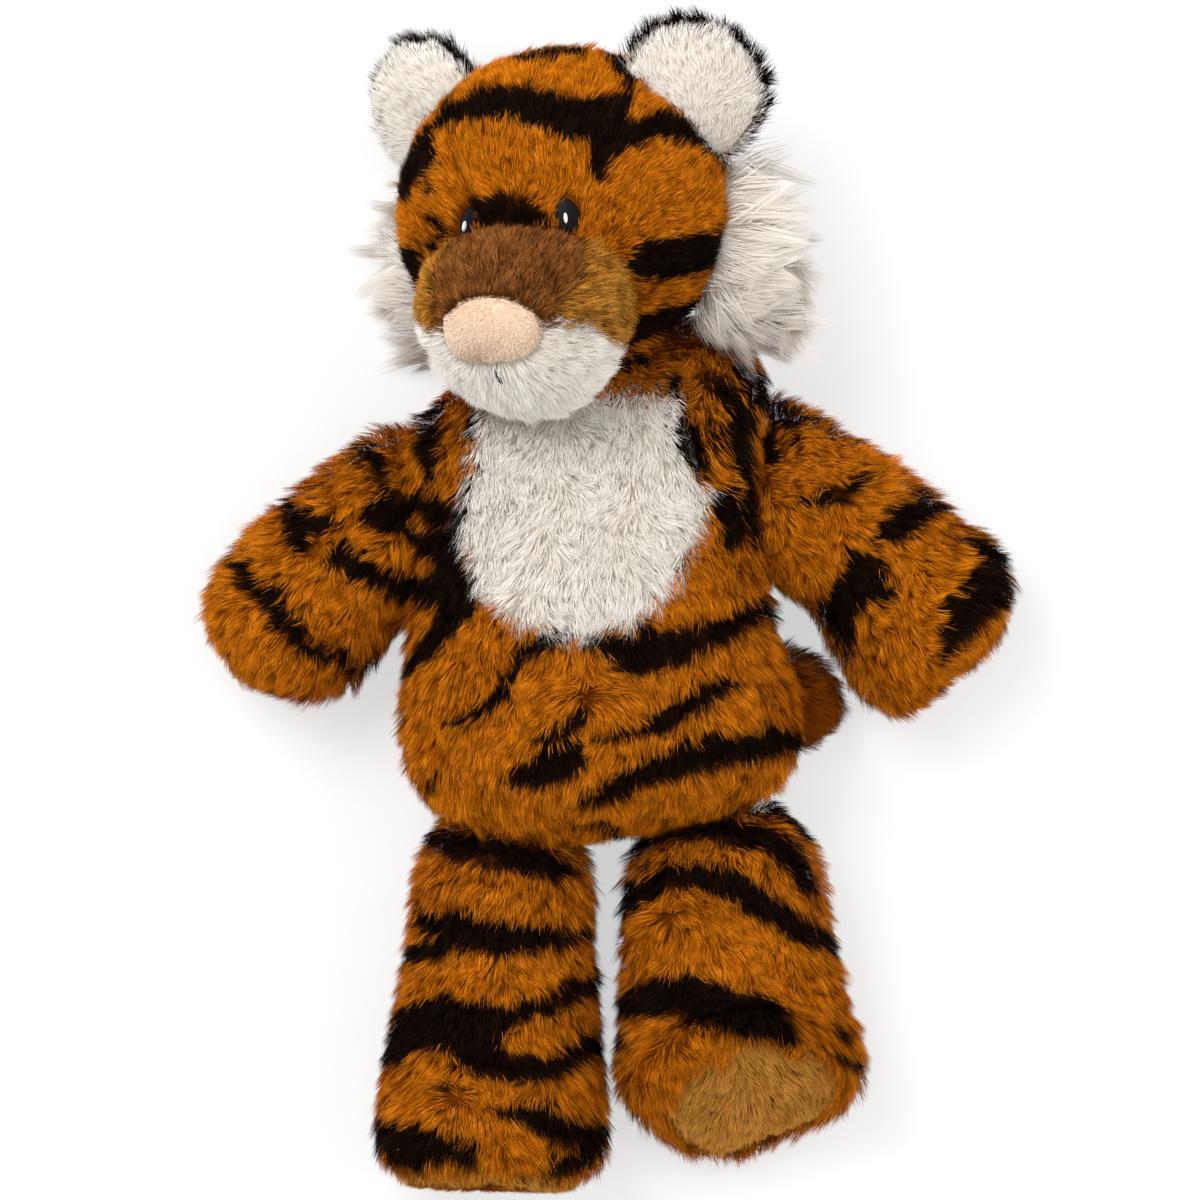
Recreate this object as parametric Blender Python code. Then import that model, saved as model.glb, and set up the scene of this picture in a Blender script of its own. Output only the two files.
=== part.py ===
"""Floppy plush tiger, lying on its back with its face up.

The frame stands on the floor at the middle of the torso: +Y runs to the head, +X to the right of
someone who looks down at the belly, +Z up. The names left and right are that person's too.
Lengths are metres. Every soft form is a skin with stuffing inside, sewn to its neighbour.
"""
import math

import bmesh
import bpy
from mathutils import Matrix, Vector

# Cloth, seams and clearances
SKIN = 0.0020            # plush backing with its pressed pile
SEAM_GAP = 0.0003        # clearance between touching pieces
FLOOR_CUT = 0.0005       # how deep each resting form is pressed flat
OVERRUN = 0.0100         # how far a cutter runs past what it cuts

# Torso, from its neck end to its seat
TORSO_LENGTH = 0.1160            # from where the shoulders begin to the seat
TORSO_NECK_ROUND = 0.0190        # the round end above the shoulders
TORSO_SEAT_ROUND = 0.0220
TORSO_HALF_WIDTH = 0.0520
TORSO_BELLY = 0.0360             # height of the belly over the middle line
TORSO_BACK = 0.0300              # depth of the back under the middle line
TORSO_NECK_Y = 0.0745            # the neck end's place on the body's axis
TORSO_NECK_X = -0.0040
TORSO_LEAN_DEG = 4.5
SEAT_POUCH_SHARE = 0.66          # where the pellet pouch starts along the torso
TORSO_STATIONS_SHARE = (
    # along, half width, belly, back
    (0.00, 0.90, 0.60, 0.66),
    (0.18, 0.87, 0.83, 0.88),
    (0.36, 0.88, 0.98, 1.00),
    (0.52, 0.94, 1.00, 1.00),
    (0.66, 1.00, 1.00, 1.00),
    (0.82, 1.00, 0.92, 0.98),
    (1.00, 0.98, 0.88, 0.94),
)

# Neck: a ball of stuffing, sunk in the torso and in the head
NECK_BALL_RADIUS = 0.0170
NECK_X = -0.0015
NECK_SINK = 0.0030               # how far the ball's middle lies under the torso's end
HEAD_TURN_DEG = 25.0             # turned to the left at rest
HEAD_NOD_DEG = 12.0              # nodded to the chest at rest
HEAD_ROLL_DEG = 3.0

# Head, in its own frame: X across the face, Y to the crown, Z out of the face
HEAD_OVER_NECK = 0.0420          # the middle of the head over the neck's ball
HEAD_HALF_WIDTH = 0.0455
HEAD_CROWN = 0.0440
HEAD_JAW = 0.0370
HEAD_FACE = 0.0400
HEAD_BACK = 0.0410

# Muzzle
MUZZLE_DOWN = 0.0170             # below the middle of the head
MUZZLE_BASE = 0.0320             # the base's place in front of the middle of the head
MUZZLE_LENGTH = 0.0270
MUZZLE_ROOT_ROUND = 0.0120
MUZZLE_TIP_ROUND = 0.0230
MUZZLE_HALF_WIDTH = 0.0290
MUZZLE_BRIDGE = 0.0215
MUZZLE_CHIN = 0.0310
BRIDGE_HALF_WIDTH = 0.0165       # the brown patch between the two cheeks
CHIN_LINE = -0.0040              # the seam over the chin, from the muzzle's middle

# Face trim
NOSE_HALF_WIDTH = 0.0142
NOSE_HALF_HEIGHT = 0.0098
NOSE_HALF_DEPTH = 0.0060
NOSE_UP = -0.0036                 # over the muzzle's middle
NOSE_SINK = 0.0024               # how far its middle lies under the muzzle's tip
EYE_APART = 0.0305
EYE_MIDDLE = 0.0022              # the face's seam lies a little to the right
EYE_UP = 0.0056
EYE_HALF_WIDTH = 0.0040
EYE_HALF_HEIGHT = 0.0058
EYE_THICK = 0.0014               # the embroidery's rise over the skin
GLINT_HALF_WIDTH = 0.0008
GLINT_HALF_HEIGHT = 0.0021
GLINT_THICK = 0.0006
STITCH_RADIUS = 0.0009
STITCH_LENGTH = 0.0060
STITCH_GAP = 0.0014              # below the nose

# Ears and cheek manes
EAR_RADIUS = 0.0196
EAR_THICK = 0.0055               # each of the two layers
EAR_OUT = 0.0395
EAR_UP = 0.0305
EAR_BEHIND = 0.0060              # behind the middle of the head
EAR_SPLAY_DEG = 18.0
MANE_OUT = 0.0405
MANE_DOWN = 0.0120
MANE_BEHIND = 0.0110             # behind the middle of the head
MANE_HALF_WIDTH = 0.0120
MANE_HALF_HEIGHT = 0.0250
MANE_HALF_DEPTH = 0.0105
MANE_TILT_DEG = 14.0

# Arms, hinged along the shoulder seams
ARM_LEFT_LENGTH = 0.0540         # from the seam's axis to the paw's end
ARM_RIGHT_LENGTH = 0.0658
ARM_ROOT_RADIUS = 0.0185
ARM_ROOT_HALF = 0.0236           # half the seam's length
ARM_TIP_ROUND = 0.0160
ARM_LEFT_PLACE_SHARE = 0.226     # along the torso
ARM_RIGHT_PLACE_SHARE = 0.244
ARM_LEFT_OUT = 0.0045            # beyond the torso's half width
ARM_RIGHT_OUT = 0.0084
ARM_LEFT_SEAM_DEG = 27.0
ARM_RIGHT_SEAM_DEG = 27.0
ARM_LEFT_BEND_DEG = 26.0
ARM_RIGHT_BEND_DEG = 27.0
ARM_STATIONS_SHARE = (
    # along, half width, top, underside, sides as shares of the root's
    (0.00, 1.00, 1.00, 1.00),
    (0.14, 0.98, 0.90, 0.90),
    (0.30, 0.95, 0.89, 0.90),
    (0.55, 0.94, 0.96, 0.96),
    (0.75, 0.95, 1.04, 1.00),
    (1.00, 0.93, 1.06, 0.98),
)

# Legs, hinged along the hip seams
LEG_LENGTH = 0.0800              # from the seam's axis to the sole
LEG_ROOT_RADIUS = 0.0230
LEG_LEFT_ROOT_HALF = 0.0218
LEG_RIGHT_ROOT_HALF = 0.0245       # this leg lies flatter, so it is wider
LEG_TIP_ROUND = 0.0150
LEG_LEFT_PLACE_SHARE = 1.119     # along the torso, past its seat
LEG_RIGHT_PLACE_SHARE = 1.150
LEG_LEFT_ACROSS_SHARE = 0.608    # of the torso's half width
LEG_RIGHT_ACROSS_SHARE = 0.600
LEG_LEFT_SPLAY_DEG = 3.0
LEG_RIGHT_SPLAY_DEG = 5.0
LEG_LEFT_SOLE_DEG = 0.0          # how far the sole is turned up
LEG_RIGHT_SOLE_DEG = 33.0
LEG_STATIONS_SHARE = (
    (0.00, 1.00, 1.00, 1.00),
    (0.13, 0.98, 0.88, 0.91),
    (0.30, 1.05, 0.90, 0.91),
    (0.50, 1.16, 1.04, 0.96),
    (0.72, 1.26, 1.32, 1.00),
    (0.90, 1.27, 1.45, 1.00),
    (1.00, 1.25, 1.40, 1.00),
)
SOLE_HALF_WIDTH = 0.0215
SOLE_HALF_HEIGHT = 0.0200
SOLE_THICK = 0.0022
POUCH_SHARE = 0.62               # where a limb's pellet pouch starts
BEND_END_SHARE = 0.48            # a limb's centre line bends up to here
SOLE_PULL_SHARE = 0.45           # a turned sole pulls back the limb from here
MOUTH_SHARE = 0.45               # a limb skin's opening, of its root's roundness
SOLE_RISE_SHARE = 0.22           # the sole's middle over the leg's axis

# Tail, hinged upright in the back of the seat
TAIL_LENGTH = 0.0135
TAIL_ROOT_RADIUS = 0.0110
TAIL_TIP_ROUND = 0.0110
TAIL_PLACE_SHARE = 0.709         # along the torso
TAIL_IN = 0.0018                 # inside the torso's half width
TAIL_TURN_DEG = -6.0
TAIL_STATIONS_SHARE = (
    (0.00, 1.00, 1.00, 1.00),
    (0.40, 0.93, 0.94, 1.00),
    (1.00, 0.97, 1.00, 1.00),
)

# Bib: the white panel let into the chest, as shares of its own width and height
BIB_X = -0.0020
BIB_TOP_Y = 0.0600
BIB_WIDTH = 0.0660
BIB_HEIGHT = 0.0640
BIB_OUTLINE_SHARE = (
    (-0.42, 0.00), (-0.46, -0.26), (-0.50, -0.54), (-0.44, -0.76), (-0.29, -0.93),
    (-0.06, -1.00), (0.16, -0.96), (0.33, -0.82), (0.44, -0.60), (0.50, -0.36),
    (0.44, -0.16), (0.36, 0.00), (0.00, 0.08),
)

FORM_SIDES = 24
LIMB_SIDES = 16
TRIM_SIDES = 16
SEAT_SIDES = 24

COLOURS = {
    "orange_plush": (0.565, 0.171, 0.010), "white_plush": (0.80, 0.76, 0.70),
    "dark_plush": (0.012, 0.009, 0.008), "tan_plush": (0.47, 0.19, 0.035),
    "brown_plush": (0.115, 0.032, 0.010), "rust_plush": (0.155, 0.045, 0.006),
    "sole_plush": (0.35, 0.13, 0.045), "nose_plush": (0.83, 0.61, 0.46),
    "embroidery": (0.010, 0.008, 0.008), "white_thread": (0.88, 0.88, 0.86),
    "fibre_fill": (0.86, 0.86, 0.84), "pellet_cloth": (0.70, 0.69, 0.65),
}


def clear_scene():
    for obj in list(bpy.data.objects):
        bpy.data.objects.remove(obj, do_unlink=True)
    for group in list(bpy.data.collections):
        bpy.data.collections.remove(group)


clear_scene()
parts = bpy.data.collections.new("plush_tiger")
cutters = bpy.data.collections.new("cutters")
bpy.context.scene.collection.children.link(parts)
bpy.context.scene.collection.children.link(cutters)


def cloth(name):
    material = bpy.data.materials.get(name)
    if material:
        return material
    material = bpy.data.materials.new(name)
    material.use_nodes = True
    shader = material.node_tree.nodes["Principled BSDF"]
    shader.inputs["Base Color"].default_value = (*COLOURS[name], 1.0)
    shader.inputs["Roughness"].default_value = 0.9
    shader.inputs["Metallic"].default_value = 0.0
    material.diffuse_color = (*COLOURS[name], 1.0)
    return material


def pivot(name, place, turn, parent=None):
    """Empty on a joint's axis, which the pieces of its body hang from."""
    empty = bpy.data.objects.new(name, None)
    empty.empty_display_size = SKIN
    parts.objects.link(empty)
    empty.parent = parent
    bpy.context.view_layer.update()
    empty.matrix_world = Matrix.Translation(place) @ turn.to_4x4()
    bpy.context.view_layer.update()
    return empty


def piece(name, mesh, colour, body):
    mesh.materials.append(cloth(colour))
    mesh.shade_smooth()
    obj = bpy.data.objects.new(name, mesh)
    parts.objects.link(obj)
    obj.parent = body
    return obj


def cutter(name, mesh, body):
    obj = bpy.data.objects.new(name, mesh)
    cutters.objects.link(obj)
    obj.parent = body
    obj.hide_render = True
    obj.display_type = "WIRE"
    return obj


def cut(obj, tool, operation="DIFFERENCE"):
    step = obj.modifiers.new(f"{operation.lower()} {tool.name}", "BOOLEAN")
    step.operation = operation
    step.solver = "EXACT"
    step.object = tool


def smooth_share(stations, share, column):
    """Value of a table of stations at a share of the length, eased from each one to the next."""
    if share <= stations[0][0]:
        return stations[0][column]
    for near, far in zip(stations, stations[1:]):
        if share <= far[0]:
            ease = (share - near[0]) / (far[0] - near[0])
            ease = ease * ease * (3.0 - 2.0 * ease)
            return near[column] + (far[column] - near[column]) * ease
    return stations[-1][column]


class Form:
    """A stuffed form along +X of its frame: a row of oval rings with round ends.

    Its width lies along Y and its height along Z. The root's end is an ellipsoid, which is
    round about Y, so a form that is hinged there turns in a seat of the same shape.
    """

    def __init__(self, length, root_round, tip_round, half_width, top, underside, stations,
                 bend_deg=0.0, sole_deg=0.0, sides=LIMB_SIDES, rings=(3, 5, 3)):
        self.length, self.root_round, self.tip_round = length, root_round, tip_round
        self.half_width, self.top, self.underside = half_width, top, underside
        self.stations, self.sides, self.rings = stations, sides, rings
        self.bend, self.sole = math.radians(bend_deg), math.radians(sole_deg)

    def heading(self, along):
        """The centre line bends to the side from the root to a share of the length."""
        share = min(max(along / (self.length * BEND_END_SHARE), 0.0), 1.0)
        return self.bend * share * share * (3.0 - 2.0 * share)

    def centre(self, along):
        steps = 24
        place = Vector((0.0, 0.0, 0.0))
        if along <= 0.0:
            return Vector((along, 0.0, 0.0))
        for step in range(steps):
            angle = self.heading(along * (step + 0.5) / steps)
            place += Vector((math.cos(angle), math.sin(angle), 0.0)) * (along / steps)
        return place

    def places(self, inset):
        """Distances of the rings, each with the share of its full size that the ends leave."""
        root, tip = self.root_round - inset, self.tip_round - inset
        end = self.length - inset
        near, middle, far = self.rings
        rows = []
        for step in range(1, near + 1):
            angle = 0.5 * math.pi * step / near
            rows.append((-root * math.cos(angle), math.sin(angle)))
        start = end - tip
        for step in range(1, middle):
            rows.append((start * step / middle, 1.0))
        for step in range(far):
            angle = 0.5 * math.pi * step / far
            rows.append((start + tip * math.sin(angle), math.cos(angle)))
        return -root, rows, end

    def mesh(self, name, inset=0.0, before=None, after=None):
        """Mesh of the form, drawn in by the inset, and cut square before or after a share."""
        first, rows, last = self.places(inset)
        build = bmesh.new()
        bmesh.ops.create_uvsphere(build, u_segments=self.sides, v_segments=len(rows) + 1, radius=1.0)
        levels = sorted({round(vert.co.z, 4) for vert in build.verts})
        for vert in build.verts:
            level = levels.index(round(vert.co.z, 4))
            if level == 0:
                vert.co = self.at(first, 0.0, 0.0)
                continue
            if level == len(levels) - 1:
                vert.co = self.at(last, 0.0, 0.0)
                continue
            along, share = rows[level - 1]
            side = Vector((vert.co.x, vert.co.y)).normalized()
            part = min(max(along / self.length, 0.0), 1.0)
            width = self.half_width * smooth_share(self.stations, part, 1) - inset
            column, height = (2, self.top) if side.y > 0.0 else (3, self.underside)
            rise = height * smooth_share(self.stations, part, column) - inset
            vert.co = self.at(along, side.x * width * share, side.y * rise * share)
        # the skin, its inner face and its stuffing fold along the same diagonals
        bmesh.ops.triangulate(build, faces=build.faces, quad_method="FIXED")
        for share, side in ((before, 1.0), (after, -1.0)):
            if share is None:
                continue
            place = self.centre(self.length * share - side * SEAM_GAP / 2.0)
            angle = self.heading(self.length * share)
            normal = Vector((math.cos(angle), math.sin(angle), 0.0)) * side
            bmesh.ops.bisect_plane(build, geom=build.verts[:] + build.edges[:] + build.faces[:],
                                   plane_co=place, plane_no=normal, clear_outer=True)
            rim = [edge for edge in build.edges if edge.is_boundary]
            bmesh.ops.contextual_create(build, geom=rim)
            bmesh.ops.recalc_face_normals(build, faces=build.faces)
        mesh = bpy.data.meshes.new(name)
        build.to_mesh(mesh)
        build.free()
        return mesh

    def at(self, along, across, rise):
        """Point of the form; the sole's turn pulls the top of the far end back."""
        share = min(max(along / self.length, 0.0), 1.0)
        late = max(share - SOLE_PULL_SHARE, 0.0) / (1.0 - SOLE_PULL_SHARE)
        pull = math.tan(self.sole) * (rise + self.underside) * late
        angle = self.heading(along)
        centre = self.centre(along - pull)
        return centre + Vector((-math.sin(angle) * across, math.cos(angle) * across, rise))


def ball(name, size, place, turn=None, sides=SEAT_SIDES, rings=12, around="Z"):
    """Ellipsoid with its poles on the named axis."""
    build = bmesh.new()
    bmesh.ops.create_uvsphere(build, u_segments=sides, v_segments=rings, radius=1.0)
    tip = Matrix.Identity(4)
    if around == "Y":
        tip = Matrix.Rotation(math.radians(90.0), 4, "X")
    if around == "X":
        tip = Matrix.Rotation(math.radians(90.0), 4, "Y")
    build.transform(tip)
    build.transform(Matrix.Diagonal((*size, 1.0)))
    if turn is not None:
        build.transform(turn.to_4x4())
    build.transform(Matrix.Translation(place))
    bmesh.ops.recalc_face_normals(build, faces=build.faces)
    mesh = bpy.data.meshes.new(name)
    build.to_mesh(mesh)
    build.free()
    return mesh


def seat_for(name, radius, half, body):
    """Seat for a root that turns about Y: its facets stay outside the root by the seam gap."""
    grow = 1.0 / math.cos(math.pi / SEAT_SIDES)
    size = ((radius + SEAM_GAP) * grow, (half + SEAM_GAP) * grow, (radius + SEAM_GAP) * grow)
    return cutter(name, ball(name, size, (0.0, 0.0, 0.0), around="Y"), body)


def box(name, low, high):
    build = bmesh.new()
    bmesh.ops.create_cube(build, size=1.0)
    size = Vector(high) - Vector(low)
    build.transform(Matrix.Translation((Vector(high) + Vector(low)) / 2.0) @ Matrix.Diagonal((*size, 1.0)))
    mesh = bpy.data.meshes.new(name)
    build.to_mesh(mesh)
    build.free()
    return mesh


def frame_turn(x_axis, z_axis=Vector((0.0, 0.0, 1.0))):
    """Rotation whose X and Z point as given."""
    x_axis = x_axis.normalized()
    y_axis = z_axis.cross(x_axis).normalized()
    return Matrix((x_axis, y_axis, z_axis)).transposed()


def heading_vector(degrees):
    angle = math.radians(degrees)
    return Vector((math.cos(angle), math.sin(angle), 0.0))


# Floor that every resting form is pressed flat on
reach = TORSO_LENGTH + LEG_LENGTH + ARM_RIGHT_LENGTH + HEAD_OVER_NECK
floor = cutter("floor", box("floor", (-reach, -reach, -OVERRUN), (reach, reach, 0.0)), None)

# Torso: its form runs from the neck to the seat
torso_form = Form(TORSO_LENGTH, TORSO_NECK_ROUND, TORSO_SEAT_ROUND, TORSO_HALF_WIDTH, TORSO_BELLY,
                  TORSO_BACK, TORSO_STATIONS_SHARE, sides=FORM_SIDES, rings=(3, 7, 4))
torso_turn = frame_turn(heading_vector(TORSO_LEAN_DEG - 90.0))
torso_place = Vector((TORSO_NECK_X, TORSO_NECK_Y - TORSO_NECK_ROUND, TORSO_BACK - FLOOR_CUT))
torso = pivot("torso_body", torso_place, torso_turn)


def beside_torso(share, across, height):
    """Place at a share of the torso's length, and to the right of its axis."""
    place = torso_place + torso_turn @ Vector((TORSO_LENGTH * share, across, 0.0))
    return Vector((place.x, place.y, height - FLOOR_CUT))


# Pivots on the joint axes
arm_left = pivot("arm_left_body",
                 beside_torso(ARM_LEFT_PLACE_SHARE, -TORSO_HALF_WIDTH - ARM_LEFT_OUT, ARM_ROOT_RADIUS),
                 frame_turn(heading_vector(180.0 + ARM_LEFT_SEAM_DEG)), torso)
arm_right = pivot("arm_right_body",
                  beside_torso(ARM_RIGHT_PLACE_SHARE, TORSO_HALF_WIDTH + ARM_RIGHT_OUT, ARM_ROOT_RADIUS),
                  frame_turn(heading_vector(-ARM_RIGHT_SEAM_DEG)), torso)
leg_left = pivot("leg_left_body",
                 beside_torso(LEG_LEFT_PLACE_SHARE, -TORSO_HALF_WIDTH * LEG_LEFT_ACROSS_SHARE, LEG_ROOT_RADIUS),
                 frame_turn(heading_vector(-90.0 - LEG_LEFT_SPLAY_DEG)), torso)
leg_right = pivot("leg_right_body",
                  beside_torso(LEG_RIGHT_PLACE_SHARE, TORSO_HALF_WIDTH * LEG_RIGHT_ACROSS_SHARE, LEG_ROOT_RADIUS),
                  frame_turn(heading_vector(-90.0 + LEG_RIGHT_SPLAY_DEG)), torso)
tail_turn = Matrix.Rotation(math.radians(TAIL_TURN_DEG), 3, "Z")
tail = pivot("tail_body", beside_torso(TAIL_PLACE_SHARE, TORSO_HALF_WIDTH - TAIL_IN, TAIL_ROOT_RADIUS),
             tail_turn, torso)

# The head's frame, and the height at which the back of the head touches the floor
face_turn = (Matrix.Rotation(math.radians(HEAD_ROLL_DEG), 3, "Z")
             @ Matrix.Rotation(math.radians(-HEAD_TURN_DEG), 3, "Y")
             @ Matrix.Rotation(math.radians(HEAD_NOD_DEG), 3, "X"))
head_down = face_turn.inverted() @ Vector((0.0, 0.0, -1.0))
head_reach = math.sqrt((head_down.x * HEAD_HALF_WIDTH) ** 2
                       + (head_down.y * (HEAD_JAW if head_down.y < 0.0 else HEAD_CROWN)) ** 2
                       + (head_down.z * HEAD_BACK) ** 2)
neck_rise = face_turn @ Vector((0.0, HEAD_OVER_NECK, 0.0))
neck_place = Vector((NECK_X, TORSO_NECK_Y - NECK_SINK, head_reach - FLOOR_CUT - neck_rise.z))
neck = pivot("neck_body", neck_place, Matrix.Identity(3), torso)
head = pivot("head_body", neck_place, face_turn, neck)


# Seats: what the moving roots turn in
seats = [
    seat_for("seat_arm_left", ARM_ROOT_RADIUS, ARM_ROOT_HALF, arm_left),
    seat_for("seat_arm_right", ARM_ROOT_RADIUS, ARM_ROOT_HALF, arm_right),
    seat_for("seat_leg_left", LEG_ROOT_RADIUS, LEG_LEFT_ROOT_HALF, leg_left),
    seat_for("seat_leg_right", LEG_ROOT_RADIUS, LEG_RIGHT_ROOT_HALF, leg_right),
]
tail_seat = seat_for("seat_tail", TAIL_ROOT_RADIUS, TAIL_ROOT_RADIUS, tail)
neck_seat = seat_for("seat_neck", NECK_BALL_RADIUS, NECK_BALL_RADIUS, neck)

# Bib outline, drawn out through the chest
def prism(name, grow):
    build = bmesh.new()
    middle = Vector((BIB_X, BIB_TOP_Y - BIB_HEIGHT / 2.0))
    corners = []
    for across, down in BIB_OUTLINE_SHARE:
        place = Vector((BIB_X + across * BIB_WIDTH, BIB_TOP_Y + down * BIB_HEIGHT))
        place += (place - middle).normalized() * grow
        corners.append(build.verts.new((place.x, place.y, TORSO_BACK)))
    face = build.faces.new(corners)
    top = bmesh.ops.extrude_face_region(build, geom=[face])["geom"]
    rise = Vector((0.0, 0.0, TORSO_BELLY + OVERRUN))
    bmesh.ops.translate(build, vec=rise, verts=[item for item in top if isinstance(item, bmesh.types.BMVert)])
    bmesh.ops.recalc_face_normals(build, faces=build.faces)
    mesh = bpy.data.meshes.new(name)
    build.to_mesh(mesh)
    build.free()
    return mesh


bib_hole = cutter("bib_hole", prism("bib_hole", SEAM_GAP), None)
bib_outline = cutter("bib_outline", prism("bib_outline", 0.0), None)

torso_inner = cutter("torso_inner", torso_form.mesh("torso_inner", SKIN), torso)
torso_skin = piece("torso_skin", torso_form.mesh("torso_skin"), "orange_plush", torso)
cut(torso_skin, torso_inner)
for seat in (*seats, tail_seat, neck_seat, bib_hole, floor):
    cut(torso_skin, seat)
bib = piece("chest_bib", torso_form.mesh("chest_bib"), "white_plush", torso)
cut(bib, torso_inner)
cut(bib, bib_outline, "INTERSECT")
for seat in (seats[0], seats[1], neck_seat):
    cut(bib, seat)

fill_inset = SKIN + SEAM_GAP
torso_fill = piece("torso_stuffing", torso_form.mesh("torso_stuffing", fill_inset, before=SEAT_POUCH_SHARE),
                   "fibre_fill", torso)
for seat in (seats[0], seats[1], neck_seat, tail_seat):
    cut(torso_fill, seat)
seat_pouch = piece("seat_pellet_pouch", torso_form.mesh("seat_pellet_pouch", fill_inset, after=SEAT_POUCH_SHARE),
                   "pellet_cloth", torso)
for seat in (seats[2], seats[3], tail_seat):
    cut(seat_pouch, seat)


def limb(name, form, body, colour, pouch_share):
    """Skin that is open at its seam, with its stuffing and the pouch in its paw."""
    skin = piece(f"{name}_skin", form.mesh(f"{name}_skin"), colour, body)
    cut(skin, cutter(f"{name}_inner", form.mesh(f"{name}_inner", SKIN), body))
    mouth = form.root_round * MOUTH_SHARE
    opening = box(f"{name}_opening", (-form.root_round - OVERRUN, -mouth, -mouth),
                  (-form.root_round / 2.0, mouth, mouth))
    cut(skin, cutter(f"{name}_opening", opening, body))
    cut(skin, floor)
    piece(f"{name}_stuffing", form.mesh(f"{name}_stuffing", fill_inset, before=pouch_share), "fibre_fill", body)
    piece(f"{name}_pellet_pouch", form.mesh(f"{name}_pellet_pouch", fill_inset, after=pouch_share),
          "pellet_cloth", body)
    return skin


def arm_form(length, bend_deg):
    return Form(length, ARM_ROOT_RADIUS, ARM_TIP_ROUND, ARM_ROOT_HALF, ARM_ROOT_RADIUS,
                ARM_ROOT_RADIUS, ARM_STATIONS_SHARE, bend_deg=bend_deg)


def leg_form(root_half, sole_deg):
    return Form(LEG_LENGTH, LEG_ROOT_RADIUS, LEG_TIP_ROUND, root_half, LEG_ROOT_RADIUS,
                LEG_ROOT_RADIUS, LEG_STATIONS_SHARE, sole_deg=sole_deg, rings=(3, 6, 3))


limb("arm_left", arm_form(ARM_LEFT_LENGTH, ARM_LEFT_BEND_DEG), arm_left, "orange_plush", POUCH_SHARE)
limb("arm_right", arm_form(ARM_RIGHT_LENGTH, -ARM_RIGHT_BEND_DEG), arm_right, "orange_plush", POUCH_SHARE)
leg_forms = {"leg_left": (leg_form(LEG_LEFT_ROOT_HALF, LEG_LEFT_SOLE_DEG), leg_left),
             "leg_right": (leg_form(LEG_RIGHT_ROOT_HALF, LEG_RIGHT_SOLE_DEG), leg_right)}
for name, (form, body) in leg_forms.items():
    limb(name, form, body, "orange_plush", POUCH_SHARE)
    guard = cutter(f"{name}_guard", form.mesh(f"{name}_guard", -SEAM_GAP), body)
    middle = form.at(LEG_LENGTH - SKIN, 0.0, LEG_ROOT_RADIUS * SOLE_RISE_SHARE)
    lean = Matrix.Rotation(-form.sole, 3, "Y")
    size = (SKIN + SOLE_THICK, SOLE_HALF_WIDTH, SOLE_HALF_HEIGHT)
    sole = piece(f"{name}_sole", ball(f"{name}_sole", size, middle, lean, TRIM_SIDES, 8, "X"), "sole_plush", body)
    cut(sole, guard)

# Tail: one stuffed tube, hinged upright
tail_form = Form(TAIL_LENGTH, TAIL_ROOT_RADIUS, TAIL_TIP_ROUND, TAIL_ROOT_RADIUS, TAIL_ROOT_RADIUS,
                 TAIL_ROOT_RADIUS, TAIL_STATIONS_SHARE, sides=TRIM_SIDES, rings=(3, 3, 3))
tail_piece = piece("tail", tail_form.mesh("tail"), "rust_plush", tail)
cut(tail_piece, floor)

# Neck
piece("neck_stuffing", ball("neck_stuffing", (NECK_BALL_RADIUS,) * 3, (0.0, 0.0, 0.0), around="Y",
                            sides=TRIM_SIDES, rings=10), "fibre_fill", neck)

# Head: an egg of two halves, wider at the face's cheeks than at its crown
head_middle = Vector((0.0, HEAD_OVER_NECK, 0.0))


def egg(name, inset):
    """The head's form, drawn in by the inset; each of its halves has its own depth."""
    mesh = ball(name, (1.0, 1.0, 1.0), (0.0, 0.0, 0.0), sides=FORM_SIDES, rings=14, around="Y")
    for vert in mesh.vertices:
        x, y, z = vert.co
        vert.co = head_middle + Vector((
            x * (HEAD_HALF_WIDTH - inset),
            y * ((HEAD_CROWN if y > 0.0 else HEAD_JAW) - inset),
            z * ((HEAD_FACE if z > 0.0 else HEAD_BACK) - inset)))
    return mesh


def face_depth(x, y):
    """How far the face stands out at a place on it, from the middle of the head."""
    rise = HEAD_CROWN if y > 0.0 else HEAD_JAW
    return HEAD_FACE * math.sqrt(1.0 - (x / HEAD_HALF_WIDTH) ** 2 - (y / rise) ** 2)


muzzle_form = Form(MUZZLE_LENGTH, MUZZLE_ROOT_ROUND, MUZZLE_TIP_ROUND, MUZZLE_HALF_WIDTH,
                   MUZZLE_BRIDGE, MUZZLE_CHIN, ((0.0, 1.0, 1.0, 1.0), (1.0, 1.0, 1.0, 1.0)),
                   sides=FORM_SIDES, rings=(2, 2, 4))
muzzle_middle = head_middle + Vector((0.0, -MUZZLE_DOWN, MUZZLE_BASE))
# the muzzle runs out of the face, with its height along the head's Y
muzzle_turn = Matrix(((0.0, 1.0, 0.0), (0.0, 0.0, 1.0), (1.0, 0.0, 0.0)))


def muzzle_mesh(name, inset):
    mesh = muzzle_form.mesh(name, inset)
    mesh.transform(Matrix.Translation(muzzle_middle) @ muzzle_turn.to_4x4())
    return mesh


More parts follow.
